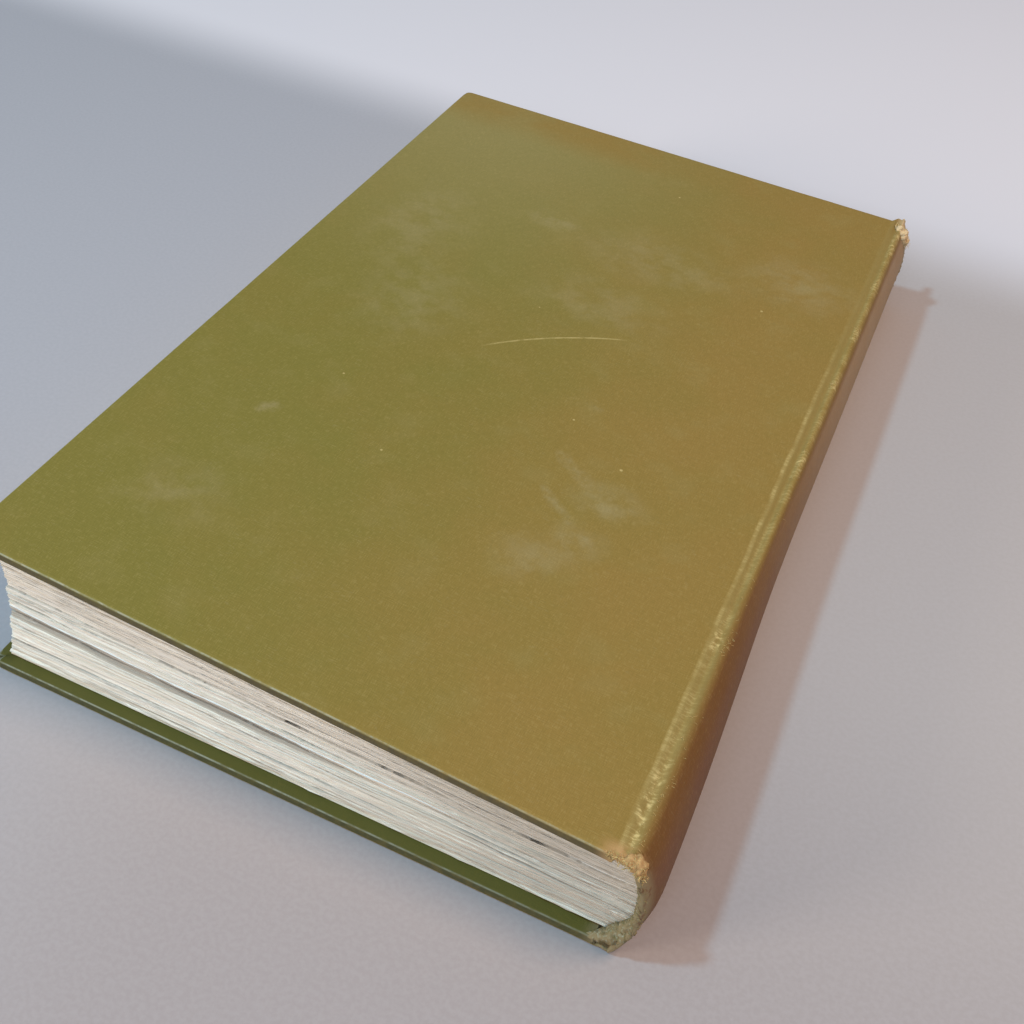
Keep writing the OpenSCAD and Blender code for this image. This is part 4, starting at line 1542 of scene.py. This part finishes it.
# The clumps at the back ridge's tail and head ends, in millimetres: distance along the cloth from the
# ridge's start, and radius
TAIL_CLUMP = [
    (-5, 0.25),
    (-2.8, 0.5),
    (-0.8, 0.7),
    (0.8, 1),
    (2.1, 1.45),
    (3.4, 1.5),
    (4.8, 1),
    (6.4, 0.35),
]
HEAD_CLUMP = [
    (-1.2, 0.4),
    (0.4, 1.2),
    (1.9, 1.7),
    (3.4, 2),
    (4.9, 2.1),
    (6.4, 1.9),
    (7.8, 1.4),
    (9.2, 0.5),
]


class BOOK_OT_fraying(bpy.types.Operator):
    """Adds the frayed cloth and threads at the spine's ends and along the ridge"""

    bl_idname = "book.fraying"
    bl_label = "Fraying"

    def execute(self, context):
        scene = context.scene
        case, wear, colours = scene.book_case, scene.book_wear, scene.book_cloth_colours
        book = Book(case, scene.book_pages)
        section = book.back_section()
        rng = random.Random(77)
        green = thread_finish("frayed_turn_in", colours.ring, colours.greyed)
        matted_green = matted_finish("matted_turn_in", colours.ring, colours.fresh, colours.worn_edge)
        ridge = section.starts[2]

        def rooted(across, depth, y):
            """A point at that depth below the cloth's outer face, and the way the cloth faces there."""
            point, facing = section.at(across)
            flat = point - facing * depth
            return Vector((book.sunk(flat.x, y), y, flat.y)), Vector((facing.x, 0, facing.y))

        def clump_at(side, stops):
            """The clump's middle points and radii, drawn back from the end where the head is worn away."""
            back, drop = (case.head_wear, case.head_droop) if side > 0 else (0, 0)
            clump = []
            for along, r in stops:
                y = side * (book.half_h - 0.7 * back * smooth(along, -3, 1) - 0.55 * r * MM)
                depth = drop * smooth(along, 9, 3) + (0.1 if side < 0 else -0.1) * r * MM
                clump.append((rooted(ridge + along * MM, depth, y)[0], r * MM))
            return clump

        def roll_at(side):
            roll = []
            for x, z, r in END_ROLL:
                y = side * (book.half_h - 0.75 * r * MM)
                roll.append((Vector((book.sunk(book.left + x * MM, y), y, z * MM)), r * MM))
            return roll

        ends = ((-1, "tail", TAIL_CLUMP, colours.frayed), (1, "head", HEAD_CLUMP, colours.bleached))
        for side, end, stops, tint in ends:
            loose = thread_finish(f"{end}_thread", tint, colours.rubbed)
            matted = matted_finish(f"{end}_clump", tint, colours.browned, colours.rubbed)
            clump, roll = clump_at(side, stops), roll_at(side)
            piece = frayed_roll(f"{end}_cap_clump", clump, wear.lump, 5 + side, matted)
            self.bend_with_back(piece, book)
            piece = frayed_roll(f"{end}_end_roll", roll, wear.lump, 21 + side, matted_green)
            self.bend_with_front(piece, book)
            fibres = self.fuzz(rng, clump, side, wear.cap_fibres, wear.fibre_length)
            self.bend_with_back(fibre_mesh(f"{end}_cap_fray", fibres, wear.fibre_d, loose), book)
            tufts = self.fuzz(rng, clump, side, wear.cap_tufts, 2.2 * MM)
            self.bend_with_back(fibre_mesh(f"{end}_cap_tufts", tufts, wear.tuft_d, loose), book)
            fibres = self.fuzz(rng, roll[:-3], side, wear.ring_fibres, 0.8 * wear.fibre_length)
            self.add(f"{end}_end_fray", fibres, wear.fibre_d, green)
        pale = thread_finish("ridge_thread", colours.frayed, colours.rubbed)
        dashes = []
        for _ in range(wear.ridge_fibres):
            spot, reach = rng.choice(RIDGE_SPOTS)
            if rng.random() < 0.75:
                y = rng.gauss(spot, 0.6 * reach) * MM
            else:
                y = rng.uniform(-book.half_h, book.half_h)
            y = max(min(y, book.half_h - case.head_wear), -book.half_h)
            across = ridge + rng.gauss(1, 0.6) * MM
            root, out = rooted(across, -0.02 * MM, y)
            ahead = rooted(across + 0.3 * MM, -0.02 * MM, y)[0]
            way = (ahead - root).normalized() * rng.choice((-1, 1))
            way += Vector((0, rng.gauss(0, 0.7), 0)) + 0.15 * out
            dashes.append(strand(rng, root, way, rng.uniform(0.3, 1.1) * MM, 0.3, 3))
        self.add("ridge_fray", dashes, 0.7 * wear.fibre_d, pale)
        return {"FINISHED"}

    def fuzz(self, rng, roll, side, count, reach):
        """Fibres that lie about the outer side of a roll."""
        strands = []
        for _ in range(count):
            place = rng.uniform(0.4, len(roll) - 1.4)
            i = int(place)
            (a, r_a), (b, r_b) = roll[i], roll[i + 1]
            centre, r = a.lerp(b, place - i), r_a + (r_b - r_a) * (place - i)
            out = Vector((rng.gauss(0, 1), side * abs(rng.gauss(0, 1)), rng.gauss(0, 1))).normalized()
            way = 0.35 * out + Vector((rng.gauss(0, 0.8), rng.gauss(0, 0.5), rng.gauss(0, 0.8)))
            strands.append(strand(rng, centre + 0.85 * r * out, way, rng.uniform(0.3, 1) * reach, 0.45, 5))
        return strands

    def add(self, name, strands, diameter, material):
        piece = fibre_mesh(name, strands, diameter, material)
        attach(piece, "pages_and_spine")

    def bend_with_back(self, piece, book):
        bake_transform(piece)

    def bend_with_front(self, piece, book):
        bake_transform(piece)


# The nodes that keep their own shape


class BOOK_OT_finishes(bpy.types.Operator):
    """Gives the boards, the endpapers and the mull's flanges their materials"""

    bl_idname = "book.finishes"
    bl_label = "Finishes"

    def execute(self, context):
        colours = context.scene.book_paper_colours
        endpaper = paper_finish("endpaper", colours.endpaper, colours.age_tone_and_shade)
        board = board_finish("binders_board", colours)
        mull = mull_finish("flange_weave", colours)
        finishes = {
            "front_board": board,
            "back_board": board,
            "front_pastedown": endpaper,
            "back_pastedown": endpaper,
            "front_flyleaf": endpaper,
            "back_flyleaf": endpaper,
            "front_mull_flange": mull,
            "back_mull_flange": mull,
        }
        for node, material in finishes.items():
            slots = frame["nodes"][node].material_slots
            if not slots:
                raise RuntimeError(f"{node} has no material slot")
            for slot in slots:
                slot.material = material
        return {"FINISHED"}


# Stage


def floor_finish(stage):
    """Pale tabletop with painted light: a little cooler on the left, warmer on the right, darker in front and
    paler at the back.
    """
    floor = Finish("floor", 0.8, 0.2)
    where = floor.object_place()
    x, y = floor.axes(where)[0:2]
    tone = floor.mix(floor.ramp(x, -170 * MM, 120 * MM), stage.floor_left, stage.floor_right)
    in_front = floor.product(floor.ramp(y, -20 * MM, -150 * MM), floor.ramp(x, -100 * MM, 0, 0.2, 1))
    tone = floor.mix(in_front, tone, stage.floor_front)
    slanted = floor.calc("ADD", y, floor.calc("MULTIPLY", x, 0.12))
    tone = floor.mix(floor.ramp(slanted, 145 * MM, 200 * MM), tone, stage.floor_back)
    speckle = floor.grain(where, 900, 2, 0.6)
    floor.paint(floor.mix(floor.ramp(speckle, 0.3, 0.7, 0, 0.06), tone, stage.floor_back))
    return floor.material


class BOOK_OT_stage(bpy.types.Operator):
    """Adds the floor, the lights and the camera"""

    bl_idname = "book.stage"
    bl_label = "Stage"

    def execute(self, context):
        scene = context.scene
        stage = scene.book_stage
        bm = bmesh.new()
        bmesh.ops.create_grid(bm, x_segments=1, y_segments=1, size=4.0)
        floor = shown("floor", bm, floor_finish(stage), smooth_faces=False)
        world = bpy.data.worlds.new("studio")
        world.use_nodes = True
        background = world.node_tree.nodes["Background"]
        background.inputs["Color"].default_value = (*stage.sky, 1)
        background.inputs["Strength"].default_value = stage.sky_level
        scene.world = world
        for name in ("key", "warm", "fill", "front"):
            self.add_lamp(name, stage)
        self.add_camera(scene, stage)
        scene.view_settings.view_transform = "Standard"
        return {"FINISHED"}

    def add_lamp(self, name, stage):
        """A round soft lamp that looks at the book."""
        light = bpy.data.lights.new(name, "AREA")
        light.shape = "DISK"
        light.size = getattr(stage, f"{name}_size")
        light.energy = getattr(stage, f"{name}_power")
        light.color = getattr(stage, name)
        way = Vector(getattr(stage, f"{name}_way"))
        lamp = bpy.data.objects.new(name, light)
        lamp.location = way.normalized() * getattr(stage, f"{name}_distance")
        lamp.rotation_euler = way.to_track_quat("Z", "Y").to_euler()
        bpy.context.scene.collection.objects.link(lamp)

    def add_camera(self, scene, stage):
        """Looks down on the tail end and the spine, as the book is seen from a chair."""
        lens = bpy.data.cameras.new("camera")
        lens.lens = stage.lens
        lens.sensor_width = 36
        lens.shift_x, lens.shift_y = stage.camera_shift
        lens.clip_start = 10 * MM
        camera = bpy.data.objects.new("camera", lens)
        camera.location = stage.camera_place
        camera.rotation_euler = stage.camera_turn
        scene.collection.objects.link(camera)
        scene.camera = camera


GROUPS = {
    "book_case": CaseSizes,
    "book_pages": PageSizes,
    "book_cloth_colours": ClothColours,
    "book_paper_colours": PaperColours,
    "book_wear": WearSettings,
    "book_stage": StageSettings,
}
STEPS = (
    BOOK_OT_stage,
    BOOK_OT_case,
    BOOK_OT_leaves,
    BOOK_OT_linings,
    BOOK_OT_endpapers,
    BOOK_OT_fraying,
    BOOK_OT_finishes,
)


class BOOK_PT_panel(bpy.types.Panel):
    """Sizes, colours and steps of the book"""

    bl_idname = "BOOK_PT_panel"
    bl_label = "Cloth hardback book"
    bl_space_type = "VIEW_3D"
    bl_region_type = "UI"
    bl_category = "Book"

    def draw(self, context):
        for group, kind in GROUPS.items():
            box = self.layout.box()
            for name in kind.__annotations__:
                box.prop(getattr(context.scene, group), name)
        for step in STEPS:
            self.layout.operator(step.bl_idname)


def register():
    for kind in (*GROUPS.values(), *STEPS, BOOK_PT_panel):
        bpy.utils.register_class(kind)
    for group, kind in GROUPS.items():
        setattr(bpy.types.Scene, group, PointerProperty(type=kind))


def unregister():
    for group in GROUPS:
        delattr(bpy.types.Scene, group)
    for kind in reversed((*GROUPS.values(), *STEPS, BOOK_PT_panel)):
        bpy.utils.unregister_class(kind)


def main():
    register()
    bpy.ops.book.stage()
    bpy.ops.book.case()
    bpy.ops.book.leaves()
    bpy.ops.book.linings()
    bpy.ops.book.endpapers()
    bpy.ops.book.fraying()
    bpy.ops.book.finishes()


if __name__ == "__main__":
    main()
